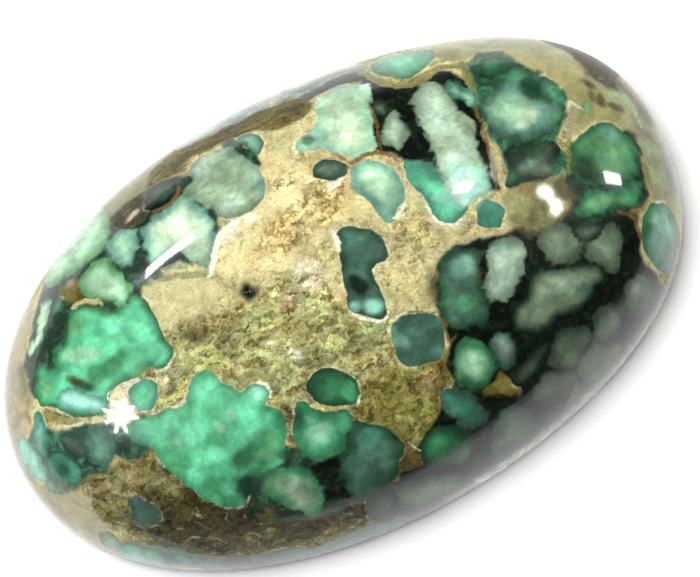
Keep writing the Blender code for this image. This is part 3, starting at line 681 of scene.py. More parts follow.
    ("teal_house", "teal_dusk", "teal_dusk", 0.3, 0.1, (
        (0.4, -3.6), (0.7, -3.1), (1.2, -2.9), (1.6, -3.05), (2.1, -3.3), (2.5, -3.5), (2.7, -4.0),
        (2.6, -4.6), (2.3, -5.1), (1.9, -5.5), (1.4, -5.4), (0.9, -5.3), (0.4, -5.1), (0.15, -4.6),
        (0.25, -4.1))),
    ("spotted_green", "forest", "teal_dusk", 0.35, 0.1, (
        (3.9, -1.6), (4.6, -1.45), (5.2, -1.6), (5.7, -1.8), (5.8, -2.3), (5.5, -2.9), (5.2, -3.5),
        (5.1, -4.1), (4.9, -4.7), (4.3, -4.9), (3.6, -4.8), (3.0, -4.5), (2.9, -4.0), (3.0, -3.4),
        (3.3, -2.8), (3.5, -2.2))),
    ("web_egg", "sage_mid", "sage_white", 0.45, 0.3, (
        (6.1, -2.2), (6.6, -1.9), (7.2, -2.0), (7.6, -2.4), (7.8, -3.0), (7.4, -3.4), (7.0, -3.9),
        (6.5, -4.3), (5.9, -4.6), (5.3, -4.3), (5.2, -3.8), (5.6, -3.2), (5.9, -2.7))),
    ("teal_diamond", "teal", "teal", 0.25, 0.0, (
        (6.8, -0.1), (7.3, 0.0), (7.6, -0.3), (7.85, -0.8), (7.6, -1.2), (7.2, -1.5), (6.8, -1.3),
        (6.4, -1.0), (6.5, -0.6))),
    ("web_stone_one", "grey_green", "sage_grey", 0.3, 0.3, (
        (8.6, -2.9), (9.2, -2.5), (10.0, -2.7), (10.6, -3.2), (10.5, -3.8), (10.0, -4.3), (9.3, -4.4),
        (8.7, -4.0), (8.5, -3.5))),
    ("web_stone_two", "web_green", "sage_grey", 0.3, 0.4, (
        (5.8, -5.6), (6.1, -5.1), (6.9, -4.8), (7.2, -4.3), (7.6, -4.0), (8.3, -4.1), (9.3, -4.4),
        (10.1, -4.7), (10.8, -5.0), (11.0, -5.5), (10.7, -5.9), (10.1, -5.9), (9.7, -6.3), (8.7, -6.5),
        (7.8, -6.4), (7.2, -6.6), (6.4, -6.5), (5.8, -6.1))),
    ("web_stone_three", "grey_green", "sage_grey", 0.3, 0.4, (
        (10.5, -4.4), (10.6, -3.9), (11.2, -3.4), (12.0, -3.5), (12.6, -3.9), (12.6, -4.5), (12.1, -5.1),
        (11.7, -5.6), (11.2, -5.5), (10.8, -5.0))),
    ("web_stone_four", "web_green", "grey_green", 0.3, 0.2, (
        (10.3, -3.0), (10.9, -2.9), (11.6, -3.2), (11.9, -3.6), (11.4, -3.9), (10.7, -3.9),
        (10.3, -3.5))),
)

# Soft round patches on the nodules: middle, half sizes, turn in degrees, tint, strength.
NODULE_SPOTS = (
    (-11.6, 8.8, 0.7, 0.35, -20, "jade_deep", 0.5),
    (-14.9, 2.6, 0.5, 0.6, 0, "jade_mid", 0.7),
    (-14.0, 3.1, 0.7, 0.5, 20, "jade_deep", 0.5),
    (-12.1, 4.5, 0.6, 0.5, 0, "leaf", 0.7),
    (-12.6, 3.1, 0.9, 0.45, -30, "mint", 0.6),
    (-10.2, 3.2, 0.8, 0.5, -40, "jade_light", 0.8),
    (-9.4, 2.2, 0.6, 0.6, 0, "jade_light", 0.6),
    (-9.2, 1.1, 0.45, 0.5, 0, "jade_light", 0.5),
    (-11.3, 1.8, 0.8, 0.5, 10, "jade_deep", 0.9),
    (-12.2, 1.8, 0.5, 0.5, 0, "jade_deep", 0.7),
    (-11.0, 3.6, 0.5, 0.4, 0, "jade_deep", 0.35),
    (-13.1, 1.8, 0.26, 0.9, 40, "forest", 1.0),
    (-13.3, 2.2, 0.2, 0.5, 40, "umber", 0.7),
    (-9.9, 5.3, 0.5, 0.6, 0, "mint_white", 0.35),
    (-16.2, -1.1, 0.4, 0.35, 0, "forest", 0.7),
    (-14.0, 4.0, 0.5, 0.3, 0, "forest", 0.5),
    (-10.3, -1.95, 0.6, 0.5, 0, "jade_light", 0.9),
    (-9.6, -3.0, 0.7, 0.6, 20, "jade_light", 0.9),
    (-8.0, -1.5, 0.6, 0.55, 0, "jade_light", 0.8),
    (-6.9, -3.2, 0.5, 0.6, 0, "jade_light", 0.6),
    (-7.3, -4.2, 0.8, 0.5, -15, "jade_light", 0.7),
    (-6.15, -2.8, 0.38, 0.35, 0, "aqua", 0.9),
    (-8.8, -3.7, 0.7, 0.45, -20, "jade_mid", 0.9),
    (-8.3, -2.6, 0.5, 0.3, 30, "jade_mid", 0.6),
    (-10.9, -3.6, 0.5, 0.7, 0, "jade_mid", 0.5),
    (-7.6, -5.1, 1.6, 0.9, 5, "jade_deep", 0.75),
    (-8.2, -5.0, 0.7, 0.5, 20, "forest", 0.8),
    (-8.7, -6.3, 0.8, 0.8, 20, "web_green", 0.95),
    (-7.2, -5.4, 0.5, 0.3, -30, "leaf", 0.7),
    (-6.7, -4.9, 0.3, 0.5, 0, "leaf", 0.5),
    (-5.9, -4.6, 0.4, 0.8, 0, "jade_deep", 0.8),
    (-6.4, -5.9, 0.6, 0.3, -20, "forest", 0.7),
    (-10.2, -5.6, 0.6, 0.7, 0, "jade_mid", 0.9),
    (-9.9, -6.5, 0.5, 0.4, 0, "jade_deep", 0.8),
    (-11.7, -1.7, 0.5, 0.5, 0, "teal", 0.9),
    (-9.2, -4.3, 0.4, 0.5, 30, "jade_light", 0.7),
    (-10.6, -4.6, 0.35, 0.5, 0, "jade_light", 0.6),
    (-8.4, -3.3, 0.25, 0.3, 0, "mint", 0.6),
    (-10.5, -2.9, 0.2, 0.35, 20, "mint", 0.5),
    (-7.7, -3.0, 0.3, 0.25, 0, "mint", 0.4),
    (-9.6, -2.0, 0.4, 0.3, 0, "jade_mid", 0.5),
    (-7.2, -8.4, 0.5, 0.6, 20, "sage", 0.35),
    (-7.8, -6.9, 0.5, 0.5, 0, "leaf", 0.6),
    (-4.6, -5.8, 0.6, 0.5, 0, "mint", 0.5),
    (-5.2, -4.8, 0.4, 0.5, 0, "forest", 0.5),
    (-3.4, -6.0, 0.35, 0.4, 0, "jade_mid", 0.7),
    (-2.5, -4.8, 0.4, 0.5, 10, "jade_mid", 0.9),
    (-3.6, -4.0, 0.45, 0.5, 0, "forest", 0.5),
    (-2.8, -7.1, 0.6, 0.5, 0, "teal", 0.7),
    (-4.0, -8.0, 0.5, 0.6, 0, "teal_dusk", 0.6),
    (-3.4, -9.2, 1.0, 0.5, 0, "forest", 0.6),
    (0.9, -10.4, 0.6, 0.45, 0, "sage_mid", 0.5),
    (2.55, -6.9, 0.3, 0.4, 0, "forest", 0.7),
    (-5.3, 4.3, 0.7, 0.8, 20, "sage", 0.85),
    # A thin pale band along the upper-left glint's streak, partly a painted highlight on the pale shield.
    (-5.5, 5.2, 1.0, 0.25, 3, "mint_white", 0.6),
    (-3.2, 8.3, 0.6, 0.5, 0, "sage_white", 0.5),
    (-1.7, 8.3, 0.3, 0.6, 0, "teal_dusk", 0.5),
    (-2.3, 6.9, 0.5, 0.9, 35, "sage_mid", 0.6),
    (-2.9, 5.7, 0.7, 0.5, 0, "sage_white", 0.5),
    (-1.5, 6.0, 0.4, 0.7, 0, "teal_pale", 0.5),
    (1.7, 6.7, 0.5, 0.4, 0, "teal_dusk", 0.9),
    (2.3, 6.6, 0.5, 0.5, 0, "teal_pale", 0.7),
    (4.6, 8.2, 0.6, 0.5, 0, "mint", 0.6),
    (5.2, 2.9, 0.4, 0.5, 0, "teal", 0.7),
    (5.8, 2.2, 0.35, 0.6, 0, "teal_dusk", 0.6),
    (5.4, 0.5, 0.5, 0.6, 0, "jade", 0.6),
    (7.7, 0.9, 0.35, 0.8, 10, "jade_light", 0.7),
    (6.8, 0.6, 0.7, 0.5, 0, "aqua", 0.8),
    (6.8, 1.7, 0.7, 0.5, 0, "aqua", 0.5),
    (7.2, 3.3, 0.5, 1.0, -10, "sage", 0.6),
    (7.9, 5.2, 0.35, 0.8, -10, "mint_white", 0.5),
    (8.3, 3.6, 0.25, 0.9, 0, "sage_grey", 0.6),
    (12.3, 3.9, 0.75, 0.95, 0, "forest", 1.0),
    (12.6, 3.1, 0.4, 0.4, 0, "teal_dark", 0.6),
    (10.6, 3.3, 1.1, 1.0, -30, "mint", 0.75),
    (11.2, 2.7, 0.8, 0.45, 10, "mint_white", 0.75),
    (9.7, 2.9, 0.4, 0.7, 0, "teal_dusk", 0.5),
    (12.0, 4.9, 0.6, 0.3, 0, "jade_mid", 0.6),
    (13.2, 3.2, 0.3, 0.6, 0, "jade_mid", 0.7),
    (12.6, 2.1, 0.5, 0.3, 20, "leaf", 0.7),
    (9.7, 1.1, 0.7, 0.3, 0, "web_green", 0.7),
    (10.0, 0.5, 0.5, 0.25, 0, "teal_pale", 0.5),
    (10.7, 1.0, 0.5, 0.4, 0, "forest", 0.6),
    (8.9, 0.4, 0.35, 0.3, 30, "jade_deep", 0.7),
    (12.6, -0.8, 0.8, 0.8, 20, "web_green", 0.9),
    (13.3, -0.3, 0.5, 0.9, 0, "jade_deep", 0.6),
    (14.7, 0.3, 0.6, 0.5, 0, "teal_pale", 0.6),
    (15.0, -1.3, 0.5, 0.5, 0, "jade_mid", 0.7),
    (12.2, -2.4, 0.5, 0.4, 0, "leaf", 0.8),
    (14.0, -2.8, 0.6, 0.4, 0, "jade_mid", 0.9),
    (14.2, -4.3, 0.5, 0.5, 40, "jade_deep", 0.8),
    (15.3, -4.6, 0.6, 0.5, 0, "mint", 0.5),
    (15.6, -5.9, 0.6, 0.5, 0, "sage_grey", 0.7),
    (3.3, 2.9, 0.6, 0.8, 0, "mint_white", 0.45),
    (2.75, 2.3, 0.3, 0.5, 0, "teal", 0.6),
    (0.25, -0.8, 0.42, 0.7, 10, "web", 0.95),
    (1.3, 0.7, 0.6, 0.6, 0, "teal_dusk", 0.5),
    (1.9, 0.1, 0.4, 0.4, 0, "slate", 0.6),
    (0.3, -2.0, 0.5, 0.38, -20, "aqua", 0.75),
    (-0.4, -1.6, 0.3, 0.3, 0, "aqua", 0.7),
    (0.55, -3.7, 0.35, 0.7, 15, "teal_pale", 0.75),
    (1.9, -5.2, 0.3, 0.3, 0, "teal_pale", 0.4),
    (2.2, -4.0, 0.4, 0.6, 0, "teal_dark", 0.6),
    (4.8, -2.3, 0.65, 0.55, 0, "teal_pale", 0.85),
    (4.1, -3.8, 0.5, 0.4, 0, "jade_mid", 0.6),
    (3.4, -3.3, 0.4, 0.35, 0, "jade_deep", 0.6),
    (3.2, -4.5, 0.3, 0.2, 0, "umber", 0.4),
    (6.9, -2.2, 0.6, 0.3, 20, "teal_pale", 0.5),
    (8.3, -5.0, 0.7, 0.4, -10, "sage", 0.5),
    (6.5, -5.6, 0.6, 0.3, 20, "grey_green", 0.8),
    (9.6, -5.8, 0.6, 0.3, 0, "teal_dusk", 0.7),
    (12.4, -7.0, 0.4, 0.4, 0, "sage", 0.4),
    (11.4, 6.1, 0.4, 0.3, 0, "jade_mid", 0.5),
    (9.1, 8.7, 0.4, 0.7, -25, "jade_deep", 0.7),
    (10.3, 0.1, 0.9, 0.28, -22, "sage_grey", 0.7),
    # Painted highlight at the pale square's left corner.
    (1.25, 6.4, 0.2, 0.3, 0, "aqua", 0.8),
    (-14.9, 2.7, 0.35, 0.5, 0, "leaf", 0.7),
    (-12.0, 2.8, 0.5, 0.35, 0, "mint", 0.45),
    (-10.3, 0.9, 0.5, 0.3, 0, "leaf", 0.6),
    (7.4, 8.6, 0.3, 0.4, 0, "teal_dusk", 0.5),
)

# Veins and pale seams, last on top: tint, full width, strength, points along the middle. The pale seams
# along the nodules' edges are partly painted highlights.
VEINS = (
    ("rust", 0.26, 0.9, ((-6.4, 7.5), (-5.8, 7.4), (-5.2, 7.5), (-4.8, 7.9), (-4.7, 8.3))),
    ("umber", 0.13, 0.75, ((-11.9, 5.15), (-11.2, 5.05), (-10.6, 4.6), (-10.2, 4.15), (-9.8, 3.7))),
    ("sand", 0.34, 0.85, ((-11.9, 5.35), (-11.3, 5.35), (-10.8, 5.1), (-10.4, 4.6))),
    ("olive", 0.34, 0.7, ((-7.5, 4.1), (-6.6, 3.8), (-6.0, 3.45), (-5.4, 3.0))),
    ("sage_grey", 0.26, 0.7, ((-7.1, 4.45), (-6.6, 4.3), (-6.1, 3.95))),
    ("web_green", 0.18, 0.85, ((-6.9, 4.65), (-6.3, 4.6), (-6.0, 4.3), (-5.85, 3.8))),
    ("umber", 0.26, 0.8, ((-3.6, 10.6), (-2.0, 10.35), (-0.5, 10.1), (0.4, 10.2), (1.4, 9.95),
                          (2.9, 9.6))),
    ("umber", 0.2, 0.8, ((-3.3, 10.0), (-2.4, 9.75), (-1.2, 9.4), (0.2, 9.05), (1.6, 9.35), (2.8, 9.0))),
    ("umber", 0.3, 0.7, ((-5.6, 9.9), (-4.9, 10.1), (-4.2, 10.3))),
    ("slate", 0.7, 0.6, ((-15.9, -5.5), (-14.9, -6.3), (-13.9, -7.0), (-12.9, -8.0))),
    ("ochre", 0.55, 0.9, ((6.2, 9.4), (6.3, 8.5), (6.6, 7.7), (7.1, 7.2), (8.0, 7.0), (9.0, 7.2),
                          (9.8, 6.9), (10.4, 6.5))),
    ("rust", 0.18, 0.7, ((6.4, 8.6), (6.7, 7.7), (7.2, 7.25), (8.1, 7.1), (9.1, 7.2))),
    ("ochre", 0.5, 0.8, ((10.3, 7.0), (10.1, 6.2), (9.8, 5.5), (9.7, 4.9))),
    ("rust", 0.24, 0.9, ((2.1, 4.05), (2.6, 4.4), (3.2, 4.5), (3.9, 4.4), (4.3, 4.15), (4.6, 3.8),
                         (4.75, 3.4))),
    ("rust", 0.18, 0.8, ((4.25, 4.4), (4.6, 5.1), (4.9, 5.9), (5.1, 6.6), (5.3, 7.1))),
    ("beige", 0.16, 0.8, ((4.65, 3.4), (4.48, 2.7), (4.5, 2.1))),
    ("rust", 0.12, 0.8, ((1.9, 5.9), (2.3, 5.4), (2.6, 4.9), (2.7, 4.5))),
    ("rust", 0.20, 0.85, ((9.7, 5.0), (9.2, 4.0), (9.0, 3.1), (8.8, 2.4), (8.5, 1.6), (8.2, 0.9),
                          (8.0, 0.2))),
    ("beige", 0.30, 0.8, ((8.85, 2.0), (8.6, 1.6), (8.3, 1.0), (8.1, 0.4))),
    ("ochre", 0.3, 0.8, ((11.5, -0.7), (11.9, 0.0), (12.2, 0.5), (12.6, 1.1), (13.0, 1.7))),
    ("beige", 0.34, 0.8, ((12.3, 0.9), (12.8, 1.3), (13.2, 1.8), (13.4, 2.3))),
    ("rust", 0.30, 0.8, ((12.9, -3.15), (13.6, -3.7), (13.65, -4.3), (13.55, -5.0))),
    ("umber", 0.14, 0.8, ((5.85, -1.9), (5.5, -2.6), (5.25, -3.2), (5.1, -3.7))),
    ("umber", 0.10, 0.7, ((1.5, -6.95), (2.2, -7.25), (2.9, -7.85), (3.4, -8.25), (4.2, -8.7))),
    ("rust", 0.14, 0.8, ((2.75, -3.6), (2.8, -4.3), (2.65, -5.0), (3.1, -4.9))),
    ("umber", 0.12, 0.8, ((1.0, -2.75), (1.6, -2.95), (2.3, -3.35), (2.7, -3.55))),
    ("umber", 0.14, 0.8, ((-15.6, 1.95), (-15.0, 1.35), (-14.4, 0.85), (-13.8, 0.45), (-13.1, 0.1))),
    ("chalk", 0.16, 0.85, ((-15.8, 1.3), (-15.3, 0.9), (-14.8, 0.5), (-14.0, 0.2), (-13.2, -0.15),
                           (-12.6, -0.4))),
    # Pale seams along the nodules' lower edges: pale stone, partly painted highlight where light catches the
    # edges.
    ("cream_and_glint", 0.20, 0.9, ((3.1, 1.12), (3.5, 1.2), (3.95, 1.5))),
    ("cream_and_glint", 0.16, 0.9, ((4.72, 1.0), (4.75, 0.3), (5.0, -0.2), (5.5, -0.45), (5.95, -0.33))),
    ("cream_and_glint", 0.15, 0.95, ((-0.75, -1.7), (-0.35, -2.25), (0.1, -2.65), (0.6, -2.72), (0.85, -2.45))),
    ("cream_and_glint", 0.17, 0.95, ((-6.05, -2.33), (-5.65, -2.63), (-5.58, -3.0), (-5.8, -3.27))),
    ("cream_and_glint", 0.13, 0.8, ((-9.9, 0.5), (-9.4, 0.28), (-8.9, 0.38), (-8.5, 0.75))),
    ("chalk", 0.15, 0.8, ((-10.2, -1.25), (-9.5, -1.5), (-9.0, -1.25))),
    ("cream_and_glint", 0.14, 0.8, ((-2.5, -5.55), (-2.15, -5.2))),
    # Painted highlight along the pale square's left corner.
    ("cream_and_glint", 0.13, 0.8, ((0.95, 6.2), (0.9, 6.6), (1.15, 7.05))),
    ("cream_and_glint", 0.12, 0.7, ((0.75, -3.05), (1.2, -2.85), (1.6, -2.98))),
    ("cream_and_glint", 0.10, 0.6, ((-1.2, -8.2), (-0.95, -8.8), (-0.9, -9.1))),
    ("moss", 0.5, 0.95, ((16.0, 2.3), (16.8, 1.95), (17.0, 1.1), (16.85, 0.2))),
    # Pale seams along nodule edges: partly painted highlights.
    ("cream_and_glint", 0.3, 0.95, ((-5.5, 3.0), (-5.0, 3.5), (-4.5, 4.1), (-3.9, 4.6), (-3.0, 4.7))),
    ("cream_and_glint", 0.24, 0.9, ((0.35, 1.9), (0.35, 1.4), (0.2, 1.0))),
    ("cream_and_glint", 0.26, 0.9, ((1.2, 4.05), (1.7, 3.9), (2.1, 4.0))),
    ("chalk", 0.10, 0.8, ((-5.3, 5.35), (-5.0, 5.05))),
    ("chalk", 0.10, 0.8, ((-5.0, 4.8), (-4.75, 4.5))),
    ("chalk", 0.08, 0.8, ((-4.8, 5.4), (-4.6, 5.1))),
    # Pale seams along nodule edges: partly painted highlights.
    ("cream_and_glint", 0.22, 0.6, ((13.2, 2.1), (13.6, 2.5), (14.0, 1.9))),
    ("cream_and_glint", 0.16, 0.6, ((15.3, -3.55), (15.8, -3.6), (16.1, -3.75))),
    ("beige", 0.14, 0.6, ((-13.1, -7.15), (-12.6, -7.1), (-12.1, -7.4))),
    ("chalk", 0.12, 0.6, ((-11.7, -6.1), (-11.5, -6.5))),
)

# Places where a lamp shines back from the dome: the two ends of the shine on the face laid flat, the
# lamp's thickness in metres, its brightness and its colour.
GLINTS = (
    ("right_inner", (6.30, 1.08), (6.98, 0.84), 0.030, 60.0, (0.95, 0.98, 1.0)),
    ("right_inner_glow", (6.0, 1.5), (7.3, 0.4), 0.110, 4.0, (0.72, 0.90, 1.0)),
    ("right_middle", (9.7, -0.8), (10.3, -1.1), 0.017, 45.0, (1.0, 0.97, 0.80)),
    ("right_middle_down", (10.0, -0.7), (10.2, -2.0), 0.016, 45.0, (1.0, 0.97, 0.80)),
    ("right_middle_low", (9.8, -2.0), (10.45, -1.6), 0.017, 45.0, (1.0, 0.97, 0.80)),
    ("right_outer", (13.15, -1.45), (13.9, -1.9), 0.030, 40.0, (0.95, 1.0, 0.97)),
    ("upper_left", (-7.95, 4.72), (-5.35, 5.12), 0.034, 45.0, (1.0, 1.0, 1.0)),
    ("left_burst", (-12.4, -0.25), (-11.9, -0.55), 0.030, 60.0, (1.0, 1.0, 1.0)),
    ("left_burst_across", (-13.0, -0.35), (-11.4, -0.45), 0.006, 90.0, (1.0, 1.0, 1.0)),
    ("left_burst_up", (-12.0, 0.5), (-12.3, -1.3), 0.006, 90.0, (1.0, 1.0, 1.0)),
    ("left_burst_rise", (-12.8, -1.0), (-11.6, 0.15), 0.006, 90.0, (1.0, 1.0, 1.0)),
    ("left_burst_fall", (-12.8, 0.2), (-11.5, -1.0), 0.006, 90.0, (1.0, 1.0, 1.0)),
    ("left_soft", (-14.2, 1.75), (-12.8, 0.75), 0.040, 3.0, (0.80, 0.97, 1.0)),
)

# The camera: its turn round the stone, its tilt above the paper, the point it looks at in millimetres
# to the right of, above and over the stone's middle as the picture shows them, its lens and sensor in
# millimetres, and how near and how far it sees in metres.
CAMERA_TURN = -29.241
CAMERA_TILT = 78.0
CAMERA_RIGHT = 0.1945
CAMERA_UP = 0.094
CAMERA_AIM_HEIGHT = 4.0
CAMERA_LENS = 234.3
CAMERA_SENSOR = 36.0
CAMERA_REACH = (0.01, 10.0)

# The stage, in metres.
PAPER_HALF = 1.5
PAPER_DROP = 0.00002
WALL_RADIUS = 1.2
WALL_FOOT, WALL_HEIGHT = -0.01, 0.16
WALL_SIDES = 64
# The side of the round wall that is brightest, in degrees round the stone.
WALL_BRIGHT_SIDE = 280
SOFT_LIGHT_PLACE = (-0.09, 0.10, 0.36)
SOFT_LIGHT_SIZE = 0.36


# The outline and the dome, in millimetres.


def outline_table(length, width):
    """The outline as the solid has it: points all the way round, fitted to the length and the width."""
    turn = np.linspace(0, 2 * np.pi, OUTLINE_STEPS, endpoint=False)
    reach = np.ones(OUTLINE_STEPS)
    for count, share, angle in OUTLINE_SWELLS:
        reach += share * np.cos(count * turn - math.radians(angle))
    points = np.stack([length * reach * np.cos(turn), width * reach * np.sin(turn)], axis=1)
    low, high = points.min(axis=0), points.max(axis=0)
    return (points - (low + high) / 2) * np.array([length, width]) / (high - low)


def stone_size():
    """The solid's length and width in millimetres."""
    low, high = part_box(NODE)
    return (high[0] - low[0]) / MM, (high[1] - low[1]) / MM


def polish_swell(x, y):
    """How far the hand-held polish leaves the dome off its even form."""
    height = 0.0
    for size, length, direction, start in POLISH_SWELLS:
        turn = math.radians(direction)
        along = x * math.cos(turn) + y * math.sin(turn)
        height = height + size * np.sin(2 * np.pi * along / length + start)
    return height


def direction_of(places):
    return np.arctan2(places[:, 1], places[:, 0])


def distance_of(places):
    return np.hypot(places[:, 0], places[:, 1])


class Dome:
    """The dome's surface: where a place on the face laid flat is in space, and the other way round."""

    def __init__(self, outline):
        self.turns = np.linspace(0, np.pi / 2, DOME_STEPS)
        angle = direction_of(outline) % (2 * np.pi)
        order = np.argsort(angle)
        self.angle = angle[order]
        self.radius = distance_of(outline)[order]
        self.directions = np.linspace(0, 2 * np.pi, DIRECTIONS + 1)
        reach = self.reach(self.directions)[:, None] * np.sin(self.turns) ** (2 / DOME_FULLNESS)
        rise = DOME_RISE * np.cos(self.turns)[None, :]
        steps = np.hypot(np.diff(reach, axis=1), np.diff(rise, axis=1))
        self.run = np.concatenate([np.zeros((DIRECTIONS + 1, 1)), np.cumsum(steps, axis=1)], axis=1)

    def reach(self, direction):
        return np.interp(direction, self.angle, self.radius, period=2 * np.pi)

    def run_at(self, direction, turn):
        """Distance from the top along the surface, at one height turn and many directions."""
        at_turn = np.array([np.interp(turn, self.turns, row) for row in self.run])
        return np.interp(direction % (2 * np.pi), self.directions, at_turn)

    def rim_run(self, direction):
        """Distance from the top along the surface to the dome's foot."""
        return self.run_at(direction, math.pi / 2)

    def point(self, u, v):
        """The point in space for a place on the face laid flat."""
        direction = math.atan2(v, u) % (2 * math.pi)
        share = direction / (2 * math.pi) * DIRECTIONS
        low = int(share)
        row = self.run[low] * (1 - share + low) + self.run[(low + 1) % len(self.run)] * (share - low)
        turn = np.interp(math.hypot(u, v), row, self.turns)
        spread = float(self.reach(direction)) * math.sin(turn) ** (2 / DOME_FULLNESS)
        x, y = spread * math.cos(direction), spread * math.sin(direction)
        z = EDGE_HEIGHT + (DOME_RISE + polish_swell(x, y)) * math.cos(turn)
        return Vector((x, y, z))

    def normal(self, u, v):
        across = self.point(u + NORMAL_REACH, v) - self.point(u - NORMAL_REACH, v)
        along = self.point(u, v + NORMAL_REACH) - self.point(u, v - NORMAL_REACH)
        return across.cross(along).normalized()


# The skin of the stone: rings of points stitched together.


def even_fractions(outline):
    """The outline closed, the share of the way round at each of its points, and its whole length."""
    closed = np.concatenate([outline, outline[:1]])
    run = np.concatenate([[0], np.cumsum(np.hypot(*np.diff(closed, axis=0).T))])
    return closed, run / run[-1], run[-1]


def even_ring(closed, share, count):
    """Evenly spaced points on a closed outline."""
    at = np.arange(count) / count
    return np.stack([np.interp(at, share, closed[:, 0]), np.interp(at, share, closed[:, 1])], axis=1)


def stitch(faces, first, count, next_first, next_count):
    """Triangles between one ring and the next one further down, or further in under the back."""
    i = j = 0
    while i < count or j < next_count:
        here = first + i % count
        there = next_first + j % next_count
        if j >= next_count or (i < count and (i + 1) * next_count <= (j + 1) * count):
            faces.append((here, there, first + (i + 1) % count))
            i += 1
        else:
            faces.append((here, there, next_first + (j + 1) % next_count))
            j += 1


class Rings:
    """The skin's points, ring by ring from the top of the dome to the middle of the back.

    Each has its place on the face laid flat and how far in from the outline it lies on the back.
    """

    def __init__(self):
        self.points = [np.array([[0.0, 0.0, EDGE_HEIGHT + DOME_RISE + polish_swell(0.0, 0.0)]])]
        self.flat = [np.zeros((1, 2))]
        self.inward = [np.zeros(1)]
        self.starts, self.counts = [], []
        self.total = 1

    def add(self, xy, z, run, inward):
        direction = direction_of(xy)
        self.points.append(np.column_stack([xy, np.broadcast_to(z, len(xy))]))
        self.flat.append(run[:, None] * np.column_stack([np.cos(direction), np.sin(direction)]))
        self.inward.append(np.broadcast_to(inward, len(xy)))
        self.starts.append(self.total)
        self.counts.append(len(xy))
        self.total += len(xy)

    def add_dome(self, dome, outline, length, width, spacing):
        closed, share, perimeter = outline
        middle_run = np.hypot(
            np.diff(math.sqrt(length * width) / 2 * np.sin(dome.turns) ** (2 / DOME_FULLNESS)),
            np.diff(DOME_RISE * np.cos(dome.turns)),
        )
        middle_run = np.concatenate([[0], np.cumsum(middle_run)])
        rings = round(middle_run[-1] / spacing)
        for ring in range(1, rings + 1):
            turn = float(np.interp(middle_run[-1] * ring / rings, middle_run, dome.turns))
            spread = math.sin(turn) ** (2 / DOME_FULLNESS)
            count = max(FEWEST_IN_RING, round(perimeter * spread / spacing))
            xy = even_ring(closed, share, count) * spread
            z = EDGE_HEIGHT + (DOME_RISE + polish_swell(xy[:, 0], xy[:, 1])) * math.cos(turn)
            self.add(xy, z, dome.run_at(direction_of(xy), turn), 0.0)

    def add_edge(self, dome, outline):
        closed, share, _ = outline
        rim = even_ring(closed, share, self.counts[-1])
        run = dome.rim_run(direction_of(rim))
        before = (0.0, EDGE_HEIGHT)
        for inset, height in EDGE_PROFILE:
            run = run + math.hypot(inset - before[0], height - before[1])
            self.add(rim * (1 - inset / distance_of(rim))[:, None], height, run, inset)
            before = (inset, height)

    def add_back(self, dome, outline, width):
        closed, share, _ = outline
        foot_inset = EDGE_PROFILE[-1][0]
        foot = even_ring(closed, share, OUTLINE_STEPS)
        foot = foot * (1 - foot_inset / distance_of(foot))[:, None]
        closed, share, perimeter = even_fractions(foot)
        foot_run = dome.rim_run(direction_of(foot)) + EDGE_RUN
        rings = round(width / 2 / BACK_SPACING)
        for ring in range(1, rings):
            spread = 1 - ring / rings
            count = max(FEWEST_IN_RING, round(perimeter * spread / BACK_SPACING))
            edge = even_ring(closed, share, count)
            gap = distance_of(edge) * (1 - spread)
            run = np.interp(np.arange(count) / count, share[:-1], foot_run, period=1.0) + gap
            self.add(edge * spread, 0.0, run, foot_inset + gap)
        self.points.append(np.zeros((1, 3)))
        self.flat.append(np.array([[FAR_OFF, 0.0]]))
        self.inward.append(np.array([width / 2]))

    def triangles(self):
        starts, counts = self.starts, self.counts
        faces = [(0, starts[0] + i, starts[0] + (i + 1) % counts[0]) for i in range(counts[0])]
        for k in range(len(starts) - 1):
            stitch(faces, starts[k], counts[k], starts[k + 1], counts[k + 1])
        last, count = starts[-1], counts[-1]
        faces += [(last + i, self.total, last + (i + 1) % count) for i in range(count)]
        return np.array(faces, dtype=np.int32)


def skin(outline, dome, length, width, spacing):
    """The rings of the whole skin, whose points are in millimetres."""
    outline = even_fractions(outline)
    rings = Rings()
    rings.add_dome(dome, outline, length, width, spacing)
    rings.add_edge(dome, outline)
    rings.add_back(dome, outline, width)
    return rings


def point_normals(points, faces):
    corners = points[faces]
    normals = np.cross(corners[:, 1] - corners[:, 0], corners[:, 2] - corners[:, 0])
    out = np.zeros_like(points)
    for k in range(3):
        np.add.at(out, faces[:, k], normals)
    return out / np.linalg.norm(out, axis=1, keepdims=True)


# Smooth random values.


def lattice(ix, iy, iz, seed):
    """A chance number from -1 to 1 for each corner of a grid, the same on every run."""
    mixed = (ix * 73856093) ^ (iy * 19349663) ^ (iz * 83492791) ^ (seed * 2654435 + 977)
    mixed = ((mixed ^ (mixed >> 13)) & 0x7FFFFFFF) * 1274126177 & 0x7FFFFFFFFFFF
    return ((mixed ^ (mixed >> 16)) & 0xFFFF) / 32767.5 - 1.0


def drift(points, size, seed, octaves=1):
    """Smooth random values from -1 to 1 that change over about the given size."""
    total, weight, amount = 0.0, 0.0, 1.0
    for octave in range(octaves):
        at = points / (size / 2 ** octave)
        cell = np.floor(at).astype(np.int64)
        f = at - cell
        f = f * f * f * (f * (f * 6 - 15) + 10)
        value = 0.0
        for dx in (0, 1):
            for dy in (0, 1):
                for dz in (0, 1):
                    share = ((f[:, 0] if dx else 1 - f[:, 0]) * (f[:, 1] if dy else 1 - f[:, 1])
                             * (f[:, 2] if dz else 1 - f[:, 2]))
                    value = value + share * lattice(
                        cell[:, 0] + dx, cell[:, 1] + dy, cell[:, 2] + dz, seed + 31 * octave)
        total = total + amount * value
        weight += amount
        amount *= 0.5
    return total / weight * 1.5


def ease(low, high, value):
    """0 at low and beyond it, 1 at high and beyond it, smooth between. Low may be the larger one."""
    share = np.clip((value - low) / (high - low), 0, 1)
    return share * share * (3 - 2 * share)


